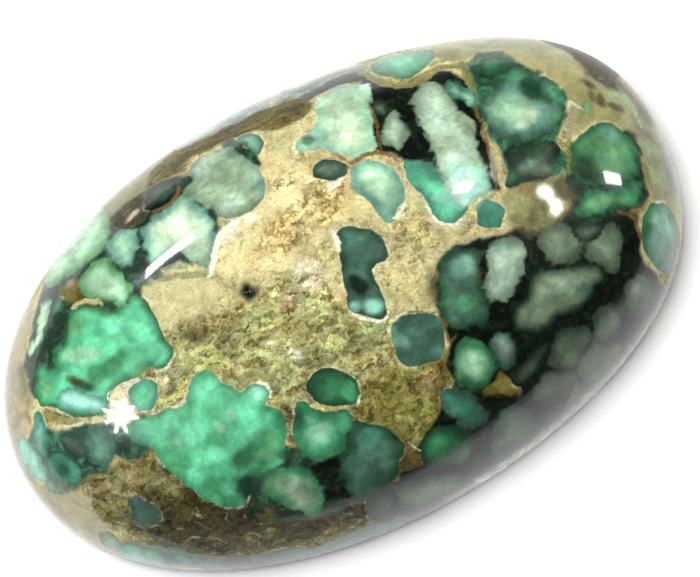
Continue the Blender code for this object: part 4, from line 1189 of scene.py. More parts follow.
# Drawing on the face laid flat.


def curve_between(a, b, c, d, t):
    """The curve from b to c, coming from a and going on to d."""
    return 0.5 * (2 * b + (c - a) * t + (2 * a - 5 * b + 4 * c - d) * t ** 2
                  + (3 * b - a - 3 * c + d) * t ** 3)


def smooth_loop(points, steps=5):
    """A closed curve through the points."""
    here = np.asarray(points, float)
    before, after, later = np.roll(here, 1, 0), np.roll(here, -1, 0), np.roll(here, -2, 0)
    t = (np.arange(steps) / steps)[None, :, None]
    return curve_between(*(p[:, None, :] for p in (before, here, after, later)), t).reshape(-1, 2)


def smooth_line(points, steps=6):
    """An open curve through the points."""
    ends = np.asarray(points, float)
    padded = np.concatenate([2 * ends[:1] - ends[1:2], ends, 2 * ends[-1:] - ends[-2:-1]])
    t = (np.arange(steps) / steps)[:, None]
    curve = [curve_between(*four, t) for four in zip(padded, padded[1:], padded[2:], padded[3:])]
    return np.concatenate(curve + [ends[-1:]])


def nearest(at, starts, ends):
    """For each place, the distance to the nearest stretch, and how far along the line that is."""
    best = np.full(len(at), np.inf)
    along = np.zeros(len(at))
    for k, (a, b) in enumerate(zip(starts, ends)):
        way = b - a
        share = np.clip((at - a) @ way / max(way @ way, 1e-12), 0, 1)
        gap = ((at - a - share[:, None] * way) ** 2).sum(axis=1)
        closer = gap < best
        best[closer] = gap[closer]
        along[closer] = (k + share[closer]) / len(starts)
    return np.sqrt(best), along


def inside(at, loop):
    hits = np.zeros(len(at), dtype=bool)
    for a, b in zip(loop, np.roll(loop, -1, 0)):
        if a[1] == b[1]:
            continue
        spans = (a[1] > at[:, 1]) != (b[1] > at[:, 1])
        cross = (b[0] - a[0]) * (at[:, 1] - a[1]) / (b[1] - a[1]) + a[0]
        hits ^= spans & (at[:, 0] < cross)
    return hits


def in_box(at, shape, margin):
    """The numbers of the places within the margin of the shape's box."""
    low, high = shape.min(axis=0) - margin, shape.max(axis=0) + margin
    return np.flatnonzero(((at > low) & (at < high)).all(axis=1))


def depth_in_loop(at, loop, margin):
    """Distance inside the loop, negative outside it, for the places within the margin of its box."""
    near = in_box(at, loop, margin)
    gap, _ = nearest(at[near], loop, np.roll(loop, -1, 0))
    return near, np.where(inside(at[near], loop), gap, -gap)


class Painter:
    """Holds every point's matrix tint, nodule tint, vein tint and the distances to their edges."""

    def __init__(self, flat, space, tints):
        self.tints = tints
        count = len(flat)
        self.ground = np.tile([*tints.sand, 0.8], (count, 1))
        self.nodule = np.tile([*tints.sage_grey, 0.2], (count, 1))
        self.vein = np.tile([*tints.rust, 0.0], (count, 1))
        self.nodule_edge, self.inner_edge, self.vein_edge = np.full((3, count), WELL_OUTSIDE)
        wide = np.column_stack([drift(space, 0.9, 11, 3), drift(space, 0.9, 23, 3)])
        fine = np.column_stack([drift(space, 0.32, 5, 2), drift(space, 0.32, 17, 2)])
        self.loose = flat + 0.22 * wide + 0.05 * fine
        self.firm = flat + 0.045 * fine + 0.03 * wide
        self.mottle = drift(space, 0.5, 41, 3)

    def colour(self, name):
        return np.array(getattr(self.tints, name))

    def area(self, name, grain, soft, points):
        near, depth = depth_in_loop(self.loose, smooth_loop(points), soft + 0.1)
        share = ease(-soft / 2, soft / 2, depth)[:, None]
        paint = np.array([*self.colour(name), grain])
        self.ground[near] = self.ground[near] * (1 - share) + paint * share

    def round_patch(self, places, u, v, half_u, half_v, turn):
        """1 in the middle of an oval patch, 0 well outside it."""
        turn = math.radians(turn)
        x, y = places[:, 0] - u, places[:, 1] - v
        along = (x * math.cos(turn) + y * math.sin(turn)) / half_u
        across = (y * math.cos(turn) - x * math.sin(turn)) / half_v
        return ease(1.3, 0.5, np.hypot(along, across) + 0.18 * self.mottle)

    def spot(self, layer, places, u, v, half_u, half_v, turn, name, strength):
        share = strength * self.round_patch(places, u, v, half_u, half_v, turn)[:, None]
        layer[:, :3] = layer[:, :3] * (1 - share) + self.colour(name) * share

    def regrain(self, u, v, half_u, half_v, turn, grain):
        share = self.round_patch(self.loose, u, v, half_u, half_v, turn)
        self.ground[:, 3] += share * (grain - self.ground[:, 3])

    def lump(self, edge_tint, core_tint, edge_depth, fibre, points):
        """A nodule, over those that came before."""
        near, depth = depth_in_loop(self.firm, smooth_loop(points), 1.2)
        core = ease(0.0, 2 * edge_depth, depth + 0.25 * edge_depth * self.mottle[near])[:, None]
        paint = self.colour(edge_tint) * (1 - core) + self.colour(core_tint) * core
        paint = np.column_stack([paint, np.full(len(near), fibre)])
        wins = (depth > 0) | (depth > self.nodule_edge[near])
        self.nodule[near[wins]] = paint[wins]
        self.inner_edge[near[wins]] = depth[wins]
        self.nodule_edge[near] = np.maximum(self.nodule_edge[near], depth)

    def seam(self, name, width, strength, points):
        """A vein, widest in the middle of its length."""
        line = smooth_line(points)
        near = in_box(self.firm, line, 1.0)
        gap, along = nearest(self.firm[near], line[:-1], line[1:])
        half = width / 2 * (0.35 + 0.65 * np.sin(np.pi * along) ** 0.6) * (1 + 0.3 * self.mottle[near])
        depth = half - gap
        wins = (depth > 0) | (depth > self.vein_edge[near])
        self.vein[near[wins]] = [*self.colour(name), strength]
        self.vein_edge[near[wins]] = depth[wins]


def lumpy_loop(rng, u, v, radius, longer, turn):
    """A rounded, slightly irregular closed outline."""
    count = rng.integers(8, 12)
    angle = np.arange(count) / count * 2 * np.pi + rng.uniform(-0.12, 0.12, count)
    reach = radius * (1 + rng.uniform(-0.16, 0.16, count))
    x, y = reach * np.cos(angle) * longer, reach * np.sin(angle) / longer
    return np.column_stack([
        u + x * math.cos(turn) - y * math.sin(turn), v + x * math.sin(turn) + y * math.cos(turn)])


RIM_TINTS = (
    ("teal_dark", "teal_dusk"), ("web_green", "grey_green"), ("jade_deep", "leaf"), ("sage_mid", "sage"),
    ("teal_dusk", "teal_pale"), ("forest", "jade_deep"), ("sage_grey", "sage_white"), ("leaf", "mint"),
)


def paint_rim(painter, dome, rng):
    """Nodules along the edge that the drawn ones leave free, running over onto the back."""
    direction = 0.0
    while direction < 2 * math.pi:
        at_edge = float(dome.rim_run(np.array([direction]))[0])
        radius = rng.uniform(0.6, 1.25)
        degrees = math.degrees(direction)
        sparse = any(low <= degrees < high for low, high in SPARSE_RIM)
        if rng.random() < (0.3 if sparse else 0.85):
            run = at_edge + rng.uniform(-0.6, 1.0)
            pair = RIM_TINTS[rng.integers(len(RIM_TINTS))]
            loop = lumpy_loop(rng, run * math.cos(direction), run * math.sin(direction), radius,
                              rng.uniform(1.0, 1.35), direction + math.pi / 2 + rng.uniform(-0.5, 0.5))
            painter.lump(*pair, rng.uniform(0.25, 0.5), rng.uniform(0, 0.4), loop)
        direction += (radius * 1.9 + rng.uniform(0.1, 0.5)) / at_edge


def paint_back(painter, rng, half_length, half_width):
    """Nodules of the back, which the dome's drawing doesn't reach."""
    placed = []
    for attempt in range(900):
        radius = rng.uniform(0.55, 2.1) * (1.0 if attempt < 300 else 0.6)
        u, v = rng.uniform(-half_length, half_length), rng.uniform(-half_width, half_width)
        if math.hypot(u / (half_length - radius), v / (half_width - radius)) > 1:
            continue
        if any(math.hypot(u - a, v - b) < 1.12 * (radius + c) for a, b, c in placed):
            continue
        placed.append((u, v, radius))
        pair = RIM_TINTS[rng.integers(len(RIM_TINTS))]
        loop = lumpy_loop(rng, u, v, radius, rng.uniform(1.0, 1.3), rng.uniform(0, math.pi))
        painter.lump(*pair, rng.uniform(0.25, 0.6), rng.uniform(0, 0.6), loop)


def paint_low_shade_and_rim_sheen(face, flat, inward, dome):
    """Paints shade on the nodules toward the low edge, and paints a pale reflection of the white paper round
    the dome's foot, most in front.
    """
    # Painted shade: the nodules toward the low edge, on the right and on the left, are darkened.
    low_right_shade = ease(-5.5, -7.5, flat[:, 1]) * ease(0.0, 3.0, flat[:, 0])
    low_left_shade = ease(-8.8, -10.0, flat[:, 1]) * ease(-15.0, -13.5, flat[:, 0])
    face.nodule[:, :3] *= 1 - np.maximum(0.45 * low_right_shade, 0.6 * low_left_shade)[:, None]
    # Painted reflection of the white paper: a pale band round the dome's foot, strongest in front, on matrix
    # and nodules.
    direction = direction_of(flat)
    rim = dome.rim_run(direction)
    front = ease(0.78, 0.97, np.cos(direction - math.radians(PAPER_SHEEN_FRONT)))
    paper_sheen_share = ease(rim - 1.7, rim - 0.1, distance_of(flat)) * ease(1.2, 0.2, inward)
    paper_sheen_share = (paper_sheen_share * (0.03 + 0.75 * front))[:, None]
    for layer in (face.ground, face.nodule):
        layer[:, :3] += paper_sheen_share * (face.colour("paper_sheen") - layer[:, :3])


def paint_underside(face, points, inward, tints, rng, half_length, half_width):
    """The back's own matrix and nodules, joined to what runs over onto the back from the rim."""
    under = np.flatnonzero(inward > EDGE_PROFILE[-1][0] + 0.05)
    back = Painter(points[under, :2], points[under], tints)
    dark = ease(-0.15, 0.15, drift(points[under], 5.0, 71, 2))[:, None]
    brown = ease(0.1, 0.6, drift(points[under], 2.6, 83, 2))[:, None]
    back.ground = np.array([*tints.sand_olive, 0.9]) * (1 - dark) + np.array([*tints.web_green, 0.2]) * dark
    back.ground = back.ground * (1 - brown) + np.array([*tints.earth, 0.9]) * brown
    paint_back(back, rng, half_length - BACK_MARGIN, half_width - BACK_MARGIN)
    reach_in = inward[under]
    over = ease(1.4, 3.0, reach_in + 0.4 * back.mottle)[:, None]
    face.ground[under] = face.ground[under] * (1 - over) + back.ground * over
    deeper = back.nodule_edge > np.where(reach_in > 3.0, WELL_OUTSIDE, face.nodule_edge[under])
    for name in ("nodule", "inner_edge", "nodule_edge"):
        getattr(face, name)[under[deeper]] = getattr(back, name)[deeper]
    face.vein_edge[under[reach_in > 1.5]] = WELL_OUTSIDE


def paint_stone(points, flat, inward, dome, tints, seed, half_length, half_width):
    """The whole pattern: the drawn face, the rim's nodules, the painted shade at the low edge, the painted
    reflection round the dome's foot, and the back.
    """
    face = Painter(flat, points, tints)
    for _, *area in GROUND_AREAS:
        face.area(*area)
    for spot in GROUND_SPOTS:
        face.spot(face.ground, face.loose, *spot)
    for spot in GRAIN_SPOTS:
        face.regrain(*spot)
    paint_rim(face, dome, np.random.default_rng(seed))
    for _, *nodule in NODULES:
        face.lump(*nodule)
    for spot in NODULE_SPOTS:
        face.spot(face.nodule, face.firm, *spot)
    for seam in VEINS:
        face.seam(*seam)
    paint_low_shade_and_rim_sheen(face, flat, inward, dome)
    paint_underside(face, points, inward, tints, np.random.default_rng(seed + 1), half_length, half_width)
    return face


def relief(points, painter, shape, inward):
    """How far each point is moved along its normal, in millimetres: matrix worn down, pits, the open pit."""
    grain = painter.ground[:, 3]
    lower = (1 - ease(-0.16, 0.12, painter.nodule_edge)) * ease(0.2, 0.6, grain)
    height = -shape.undercut / MM * lower
    pits = ease(0.25, 0.75, drift(points, 0.42, 61, 2)) + 0.5 * ease(0.2, 0.7, drift(points, 0.24, 67, 1))
    height -= PIT_SHARE * shape.grain_depth / MM * pits * grain * lower
    height += WAVER * drift(points, 1.4, 77, 2)
    height -= SINK
    gap = distance_of(painter.loose - PIT_PLACE)
    height -= shape.pit_depth / MM * ease(PIT_EDGE, PIT_FLOOR, gap) * (inward == 0)
    return height


# The stone's material.


class Look:
    """A material and the nodes added to it. A value is a number, a colour or another node's output."""

    def __init__(self, name):
        self.material = bpy.data.materials.new(name)
        self.material.use_nodes = True
        self.tree = self.material.node_tree
        self.surface = self.tree.nodes["Principled BSDF"]
        self.place = self.add("TexCoord", {}).outputs["Object"]

    def feed(self, node, values):
        """Gives the node's inputs, by name or number, their values."""
        for key, value in values.items():
            if isinstance(value, bpy.types.NodeSocket):
                self.tree.links.new(value, node.inputs[key])
            else:
                node.inputs[key].default_value = value

    def add(self, kind, values, **settings):
        node = self.tree.nodes.new("ShaderNode" + kind)
        for name, setting in settings.items():
            setattr(node, name, setting)
        self.feed(node, values)
        return node

    def finish(self, values):
        self.feed(self.surface, values)
        return self.material

    def math(self, operation, *values):
        return self.add("Math", dict(enumerate(values)), operation=operation).outputs[0]

    def times(self, product, *others):
        for other in others:
            product = self.math("MULTIPLY", product, other)
        return product

    def plus(self, total, *others):
        for other in others:
            total = self.math("ADD", total, other)
        return total

    def minus(self, value, other):
        return self.math("SUBTRACT", value, other)

    def scaled(self, value, factor, start):
        """The value times the factor, added to the start."""
        return self.math("MULTIPLY_ADD", value, factor, start)

    def about(self, value, factor):
        """How far the value is from a half, times the factor."""
        return self.times(self.minus(value, 0.5), factor)

    def ramp(self, value, low, high, to_low=0.0, to_high=1.0):
        values = {"Value": value, "From Min": low, "From Max": high, "To Min": to_low, "To Max": to_high}
        return self.add("MapRange", values, interpolation_type="SMOOTHSTEP").outputs["Result"]

    def blend(self, share, one, other, mode="MIX"):
        values = {0: share, 6: one, 7: other}
        return self.add("Mix", values, data_type="RGBA", blend_type=mode, clamp_factor=True).outputs[2]

    def shade(self, share, colour, shadow):
        """The colour times the shadow's, as far as the share says."""
        return self.blend(share, colour, (*shadow, 1.0), "MULTIPLY")

    def brighten(self, colour, amount):
        return self.add("VectorMath", {0: colour, "Scale": amount}, operation="SCALE").outputs[0]

    def noise(self, at, scale, detail=3.0, roughness=0.55, distortion=0.0):
        values = {"Vector": at, "Scale": scale, "Detail": detail, "Roughness": roughness,
                  "Distortion": distortion}
        return self.add("TexNoise", values).outputs["Fac"]

    def cells(self, at, scale):
        """The distance from each cell's middle, and three chance numbers that stay the same all over it."""
        node = self.add("TexVoronoi", {"Vector": at, "Scale": scale})
        split = self.add("SeparateColor", {0: node.outputs["Color"]})
        return node.outputs["Distance"], *split.outputs[:3]

    def warped(self, at, scale, amount):
        """The place pushed about by noise, by up to about half the amount."""
        shift = self.add("TexNoise", {"Vector": at, "Scale": scale}).outputs["Color"]
        values = {0: shift, 1: (amount, amount, amount), 2: at}
        return self.add("VectorMath", values, operation="MULTIPLY_ADD").outputs[0]

    def stretched(self, at, turn, scale):
        values = {"Vector": at, "Rotation": (0.0, 0.0, math.radians(turn)), "Scale": scale}
        return self.add("Mapping", values).outputs[0]

    def attribute(self, name):
        return self.add("Attribute", {}, attribute_name=name)


def nodule_look(look, nodule, wisp, grit):
    """Nodules: cloudy and lobed, with fibres in some, and a deeper tone along the edge."""
    place = look.place
    cloud = look.noise(place, 620, 5.0, 0.62, 0.9)
    fibres = look.noise(look.stretched(place, 38, (1100, 3600, 2600)), 1.0, 4.0, 0.65, 1.8)
    lobe, *_ = look.cells(look.warped(place, 800, 0.0006), 980)
    inner = look.attribute("inner_edge").outputs["Fac"]
    tone = look.times(
        look.ramp(cloud, 0.30, 0.70, 0.70, 1.22),
        look.ramp(wisp, 0.28, 0.72, 0.86, 1.13),
        look.ramp(grit, 0.25, 0.75, 0.95, 1.05),
        look.ramp(lobe, 0.1, 0.75, 1.14, 0.80),
        look.scaled(look.about(fibres, 1.5), nodule.outputs["Alpha"], 1.0),
        look.ramp(inner, -0.05, 0.42, 0.80, 1.0),
    )
    colour = look.brighten(nodule.outputs["Color"], tone)
    yellower = look.ramp(look.noise(place, 900, 3.0, 0.6, 1.0), 0.50, 0.75, 0.0, 0.30)
    return look.shade(yellower, colour, (1.0, 0.92, 0.55))


def matrix_look(look, ground, wisp, grit, edge, cream_and_glint):
    """Matrix: flakes, grains, darker clots, cracks, specks and pale flecks, as strong as it is grainy.

    Besides the colour it gives where the clots and the specks are.
    """
    place = look.place
    grain = ground.outputs["Alpha"]
    clots = look.noise(place, 1900, 3.0, 0.6, 1.2)
    patches = look.noise(place, 760, 4.0, 0.6, 0.8)
    flaky = look.ramp(grain, 0.62, 1.0)
    flakes = look.stretched(look.warped(place, 1500, 0.0009), -35, (1.0, 1.8, 1.4))
    _, flake_tone, flake_hue, flake_pick = look.cells(flakes, 1000)
    chips = look.stretched(look.warped(place, 3600, 0.0004), 20, (1.0, 1.7, 1.3))
    _, chip_tone, chip_hue, chip_pick = look.cells(chips, 2700)
    grit_tone = look.about(grit, 1.8)
    flake_tone = look.times(look.plus(look.about(flake_tone, 0.42), look.about(chip_tone, 0.42)), flaky)
    matrix_tone = look.scaled(look.plus(grit_tone, flake_tone), grain, 1.0)
    patch_tone = look.ramp(patches, 0.3, 0.7, 0.78, 1.20)
    matrix = look.brighten(ground.outputs["Color"], look.times(matrix_tone, patch_tone))
    web_tone = look.ramp(look.noise(place, 1500, 4.0, 0.6, 1.0), 0.45, 0.70, 0.85, 2.6)
    matrix = look.blend(look.ramp(grain, 0.35, 0.2), matrix, look.brighten(matrix, web_tone))
    for pick, low, high, most, shade in (
            (flake_hue, 0.30, 0.20, 0.45, (1.0, 0.84, 0.68)),
            (flake_hue, 0.66, 0.76, 0.45, (0.92, 1.0, 0.84)),
            (chip_hue, 0.25, 0.15, 0.5, (1.0, 0.82, 0.62)),
            (chip_pick, 0.26, 0.16, 0.75, (0.44, 0.38, 0.22)),
            (flake_pick, 0.18, 0.10, 0.55, (0.58, 0.52, 0.34)),
            (chip_pick, 0.82, 0.90, 0.8, (1.35, 1.35, 1.35)),
            (flake_pick, 0.86, 0.93, 0.7, (1.20, 1.25, 1.15))):
        share = look.times(look.ramp(pick, low, high, 0.0, most), flaky)
        matrix = look.shade(share, matrix, shade)
    is_clot = look.times(look.ramp(clots, 0.55, 0.63), look.ramp(grain, 0.3, 1.0))
    matrix = look.shade(look.times(is_clot, 0.70), matrix, (0.38, 0.32, 0.18))
    tan = look.ramp(look.noise(place, 640, 3.0, 0.6, 0.8), 0.47, 0.62, 0.0, 0.55)
    matrix = look.shade(look.times(tan, grain), matrix, (1.0, 0.84, 0.66))
    crack = look.add("TexVoronoi", {"Vector": flakes, "Scale": 1000}, feature="DISTANCE_TO_EDGE")
    is_crack = look.times(
        look.ramp(crack.outputs["Distance"], 0.07, 0.015), flaky, look.ramp(wisp, 0.42, 0.60))
    matrix = look.shade(look.times(is_crack, 0.55), matrix, (0.30, 0.24, 0.12))
    speck = look.times(
        look.ramp(look.noise(place, 6100, 2.0, 0.5), 0.57, 0.66),
        look.ramp(look.noise(place, 1300, 3.0, 0.6), 0.44, 0.62),
        look.ramp(grain, 0.4, 0.95),
    )
    matrix = look.shade(look.times(speck, 0.85), matrix, (0.26, 0.19, 0.10))
    is_fleck = look.times(look.ramp(clots, 0.42, 0.31), grain)
    fleck = look.blend(0.30, look.brighten(matrix, 1.4), cream_and_glint)
    matrix = look.blend(look.times(is_fleck, 0.45), matrix, fleck)
    halo = look.times(
        look.ramp(edge, -0.15, -0.02), look.ramp(wisp, 0.44, 0.64), look.ramp(grain, 0.4, 0.7, 0.0, 0.35))
    matrix = look.blend(halo, matrix, cream_and_glint)
    return matrix, is_clot, speck


def stone_material(tints):
    """The matrix, the nodules and the veins as the drawing lays them, under the polish."""
    look = Look("polished_variscite")
    place = look.place
    ground = look.attribute("ground_tint")
    nodule = look.attribute("nodule_tint")
    vein = look.attribute("vein_tint")
    fine = look.minus(look.noise(place, 5200, 3.0), 0.5)

    grain = ground.outputs["Alpha"]
    wisp = look.noise(place, 2300, 4.0, 0.6, 0.5)
    grit = look.noise(place, 7600, 4.0, 0.7)

    # Where the nodules and the veins are: crisp against sandy matrix, melting into the dark one.
    blur = look.ramp(grain, 0.25, 0.6, 0.13, 0.035)
    bend = look.noise(place, 1100, 2.0, 0.5, 0.6)
    stray = look.about(bend, look.ramp(grain, 0.25, 0.6, 0.9, 0.1))
    edge = look.scaled(fine, 0.06, look.attribute("nodule_edge").outputs["Fac"])
    edge = look.plus(edge, stray, look.ramp(grain, 0.25, 0.6, 0.02, 0.0))
    is_nodule = look.ramp(edge, look.times(blur, -1.0), blur)
    vein_edge = look.scaled(fine, 0.22, look.attribute("vein_edge").outputs["Fac"])
    is_vein = look.times(look.ramp(vein_edge, -0.05, 0.06), vein.outputs["Alpha"])

    nodule_colour = nodule_look(look, nodule, wisp, grit)
    matrix, is_clot, speck = matrix_look(look, ground, wisp, grit, edge, (*tints.cream_and_glint, 1.0))
    colour = look.blend(is_nodule, matrix, nodule_colour)
    vein_colour = look.brighten(vein.outputs["Color"], look.ramp(grit, 0.3, 0.7, 0.65, 1.25))
    colour = look.blend(is_vein, colour, vein_colour)

    # Polish: a hazy gloss under a sharp one, both duller where the matrix is grainy and pitted.
    grainy = look.times(look.ramp(grain, 0.2, 0.9), look.minus(1.0, is_nodule))
    rough = look.scaled(grainy, 0.14, look.ramp(wisp, 0.3, 0.7, 0.24, 0.29))
    rough = look.scaled(look.times(is_clot, grainy), 0.14, rough)
    sharp = look.scaled(grainy, -0.9, 1.0)
    height = look.times(look.plus(is_clot, speck), -1.0)
    height = look.times(look.plus(height, grit), grainy)
    height = look.scaled(wisp, 0.05, height)
    bump = look.add("Bump", {"Strength": 0.5, "Distance": 0.000030, "Height": height}).outputs[0]
    look.material.diffuse_color = (0.20, 0.33, 0.20, 1.0)
    return look.finish({
        "Base Color": colour, "Roughness": rough, "IOR": 1.57, "Specular IOR Level": 0.12, "Normal": bump,
        "Coat Weight": sharp, "Coat Roughness": 0.05, "Coat IOR": 1.5, "Coat Normal": bump,
    })


def write_attribute(mesh, name, values):
    kind, field = ("FLOAT_COLOR", "color") if values.ndim == 2 else ("FLOAT", "value")
    layer = mesh.attributes.new(name, kind, "POINT")
    layer.data.foreach_set(field, np.ascontiguousarray(values, dtype=np.float32).ravel())


def put(scene, name, data):
    """An object with the data, in the scene."""
    thing = bpy.data.objects.new(name, data)
    scene.collection.objects.link(thing)
    return thing


class STONE_OT_cabochon(bpy.types.Operator):
    """Build the stone's skin, draw its nodules and matrix on it, and give it its polish"""

    bl_idname = "stone.cabochon"
    bl_label = "Build the cabochon"
    bl_options = {"REGISTER", "UNDO"}

    def execute(self, context):
        shape = context.scene.stone_shape
        tints = context.scene.stone_tints
        length, width = stone_size()
        outline = outline_table(length, width)
        dome = Dome(outline)
        rings = skin(outline, dome, length, width, shape.spacing / MM)
        points, flat, inward = (np.concatenate(part) for part in (rings.points, rings.flat, rings.inward))
        faces = rings.triangles()
        painter = paint_stone(points, flat, inward, dome, tints, shape.seed, length / 2, width / 2)
        normals = point_normals(points, faces)
        moved = points + normals * relief(points, painter, shape, inward)[:, None]
        resting = inward > EDGE_PROFILE[-1][0] - 0.05
        moved[resting, 2] = np.maximum(moved[resting, 2], 0.0)

        mesh = bpy.data.meshes.new("cabochon_skin")
        mesh.from_pydata((moved * MM).tolist(), [], faces.tolist())
        if mesh.validate():
            raise RuntimeError("the stone's mesh has bad faces")
        for name in ("ground", "nodule", "vein"):
            write_attribute(mesh, name + "_tint", getattr(painter, name))
        for name in ("nodule_edge", "inner_edge", "vein_edge"):
            write_attribute(mesh, name, getattr(painter, name))
        mesh.materials.append(stone_material(tints))
        mesh.shade_smooth()
        stone = put(context.scene, "cabochon_skin", mesh)
        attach(stone, "root")
        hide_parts(NODE)
        return {"FINISHED"}


# The stage.


def paper_material(colour):
    look = Look("white_paper")
    fibre = look.noise(look.place, 900, 4.0, 0.6)
    paper = look.brighten((*colour,), look.ramp(fibre, 0.3, 0.7, 0.99, 1.0))
    return look.finish({"Base Color": paper, "Roughness": 0.9, "Specular IOR Level": 0.1})


def wall_material(glow):
    """Cloth that glows at its foot, most on one side, and fades upwards, so no hard line is mirrored."""
    look = Look("tent_cloth")
    look.tree.nodes.remove(look.surface)
    x, y, z = look.add("SeparateXYZ", {0: look.place}).outputs
    share = look.ramp(z, WALL_HEIGHT, 0.0)
    bright = math.radians(WALL_BRIGHT_SIDE)
    toward = look.times(x, math.cos(bright) / WALL_RADIUS)
    toward = look.scaled(y, math.sin(bright) / WALL_RADIUS, toward)
    strength = look.times(share, share, look.times(look.ramp(toward, -0.2, 0.8, 0.4, 1.3), glow))
    cloth = look.add("Emission", {"Strength": strength})
    look.feed(look.tree.nodes["Material Output"], {"Surface": cloth.outputs[0]})
    return look.material


def add_paper(scene, colour):
    sheet = bpy.data.meshes.new("paper")
    corners = [(PAPER_HALF * x, PAPER_HALF * y, 0) for x, y in ((-1, -1), (1, -1), (1, 1), (-1, 1))]
    sheet.from_pydata(corners, [], [(0, 1, 2, 3)])
    sheet.materials.append(paper_material(colour))
    paper = put(scene, "paper", sheet)
    paper.location.z = -PAPER_DROP


def add_wall(scene, glow):
    """A round wall that only the polish mirrors."""
    points = []
    for z in (WALL_FOOT, WALL_HEIGHT):
        for i in range(WALL_SIDES):
            angle = 2 * math.pi * i / WALL_SIDES
            points.append((WALL_RADIUS * math.cos(angle), WALL_RADIUS * math.sin(angle), z))
    sides = [(i, (i + 1) % WALL_SIDES) for i in range(WALL_SIDES)]
    mesh = bpy.data.meshes.new("tent_wall")
    mesh.from_pydata(points, [], [(i, j, WALL_SIDES + j, WALL_SIDES + i) for i, j in sides])
    mesh.materials.append(wall_material(glow))
    wall = put(scene, "tent_wall", mesh)
    wall.visible_camera = wall.visible_diffuse = wall.visible_shadow = wall.visible_transmission = False


def view_axes():
    """The directions from the stone to the camera, to the picture's right and up in it."""
    turn, tilt = math.radians(CAMERA_TURN), math.radians(CAMERA_TILT)
    back = Vector((math.sin(turn) * math.cos(tilt), -math.cos(turn) * math.cos(tilt), math.sin(tilt)))
    right = Vector((math.cos(turn), math.sin(turn), 0.0))
    return back, right, back.cross(right)


def mirrored(dome, eye, u, v, distance):
    """The place, in metres, that the eye sees mirrored in the dome at a place on the face laid flat."""
    spot = dome.point(u, v)
    normal = dome.normal(u, v)
    to_eye = (eye - spot).normalized()
    return spot * MM + (2 * normal.dot(to_eye) * normal - to_eye) * distance


def add_lamp(scene, name, place, aim, span, thickness, power, colour, in_gloss=True):
    """A rectangular lamp as long as the span and along it, facing the aim."""
    light = bpy.data.lights.new(name, "AREA")
    light.shape = "RECTANGLE"
    light.size = span.length
    light.size_y = thickness
    light.energy = power
    light.color = colour
    lamp = put(scene, name, light)
    lamp.visible_camera = False
    lamp.visible_glossy = in_gloss
    lamp.visible_diffuse = not in_gloss
    away = (place - aim).normalized()
    across = away.cross(span).normalized()
    turn = Matrix((across.cross(away), across, away)).transposed()
    lamp.matrix_world = Matrix.Translation(place) @ turn.to_4x4()


def add_lamps(scene, settings, eye):
    """A small lamp for each glint, where the dome mirrors it to the eye, and the soft light overhead."""
    dome = Dome(outline_table(*stone_size()))
    for name, one_end, other_end, thickness, brightness, colour in GLINTS:
        ends = [mirrored(dome, eye, *end, settings.lamp_distance) for end in (one_end, other_end)]
        span = ends[1] - ends[0]
        aim = (dome.point(*one_end) + dome.point(*other_end)) * (MM / 2)
        power = brightness * math.pi * span.length * thickness
        add_lamp(scene, name + "_lamp", (ends[0] + ends[1]) / 2, aim, span, thickness, power, colour)
    across = Vector((SOFT_LIGHT_SIZE, 0, 0))
    add_lamp(scene, "soft_light", Vector(SOFT_LIGHT_PLACE), Vector((0, 0, 0)), across, SOFT_LIGHT_SIZE,
             settings.soft_power, (1.0, 1.0, 1.0), in_gloss=False)


def set_world(scene, ambient):
    """Even white light from all round that the polish doesn't mirror, and colours shown as they are."""
    world = bpy.data.worlds.new("studio")
    scene.world = world
    world.use_nodes = True
    background = world.node_tree.nodes["Background"]
    background.inputs["Color"].default_value = (1.0, 1.0, 1.0, 1.0)
    background.inputs["Strength"].default_value = ambient
    world.cycles_visibility.glossy = False
    scene.view_settings.view_transform = "Standard"
    scene.view_settings.look = "None"


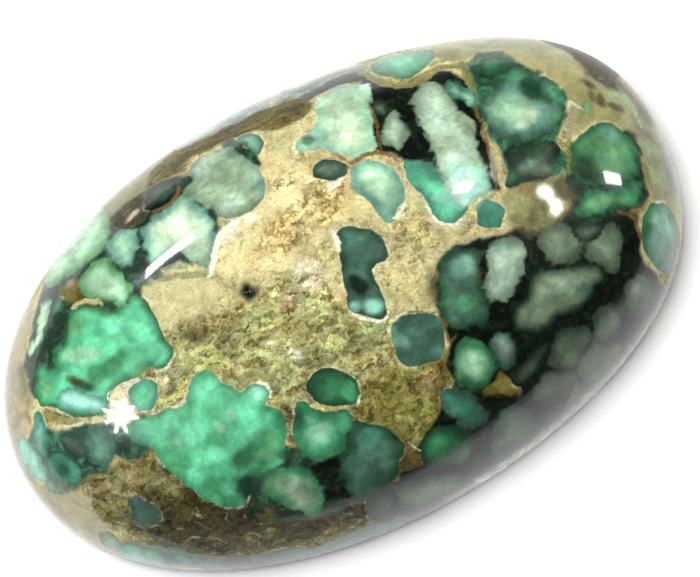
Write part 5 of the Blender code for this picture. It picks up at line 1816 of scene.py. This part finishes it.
def add_camera(scene, place, right, up, back):
    lens = bpy.data.cameras.new("camera")
    lens.lens = CAMERA_LENS
    lens.sensor_width = CAMERA_SENSOR
    lens.clip_start, lens.clip_end = CAMERA_REACH
    camera = put(scene, "camera", lens)
    turn = Matrix((right, up, back)).transposed()
    camera.matrix_world = Matrix.Translation(place) @ turn.to_4x4()
    scene.camera = camera


class STONE_OT_stage(bpy.types.Operator):
    """Lay the white paper, set the soft light and the small lamps, and place the camera"""

    bl_idname = "stone.stage"
    bl_label = "Set the stage"
    bl_options = {"REGISTER", "UNDO"}

    def execute(self, context):
        scene = context.scene
        settings = scene.stone_stage
        add_paper(scene, settings.paper)
        add_wall(scene, settings.wall_glow)
        back, right, up = view_axes()
        eye = Vector((0.0, 0.0, CAMERA_AIM_HEIGHT)) + back * (settings.camera_distance / MM)
        add_lamps(scene, settings, eye)
        set_world(scene, settings.ambient)
        add_camera(scene, (eye + right * CAMERA_RIGHT + up * CAMERA_UP) * MM, right, up, back)
        return {"FINISHED"}


class STONE_PT_panel(bpy.types.Panel):
    bl_label = "Variscite cabochon"
    bl_idname = "STONE_PT_panel"
    bl_space_type = "VIEW_3D"
    bl_region_type = "UI"
    bl_category = "Stone"

    def draw(self, context):
        layout = self.layout
        for operator in (STONE_OT_cabochon, STONE_OT_stage):
            layout.operator(operator.bl_idname)
        for group in (context.scene.stone_shape, context.scene.stone_stage, context.scene.stone_tints):
            box = layout.box()
            for name in group.bl_rna.properties.keys():
                if name not in ("rna_type", "name"):
                    box.prop(group, name)


CLASSES = (StoneShape, StoneTints, StageSettings, STONE_OT_cabochon, STONE_OT_stage, STONE_PT_panel)
GROUPS = (("stone_shape", StoneShape), ("stone_tints", StoneTints), ("stone_stage", StageSettings))


def register():
    for cls in CLASSES:
        bpy.utils.register_class(cls)
    for name, group in GROUPS:
        setattr(bpy.types.Scene, name, bpy.props.PointerProperty(type=group))


def unregister():
    for name, _ in GROUPS:
        delattr(bpy.types.Scene, name)
    for cls in reversed(CLASSES):
        bpy.utils.unregister_class(cls)


def main():
    register()
    bpy.ops.stone.cabochon()
    bpy.ops.stone.stage()


if __name__ == "__main__":
    main()
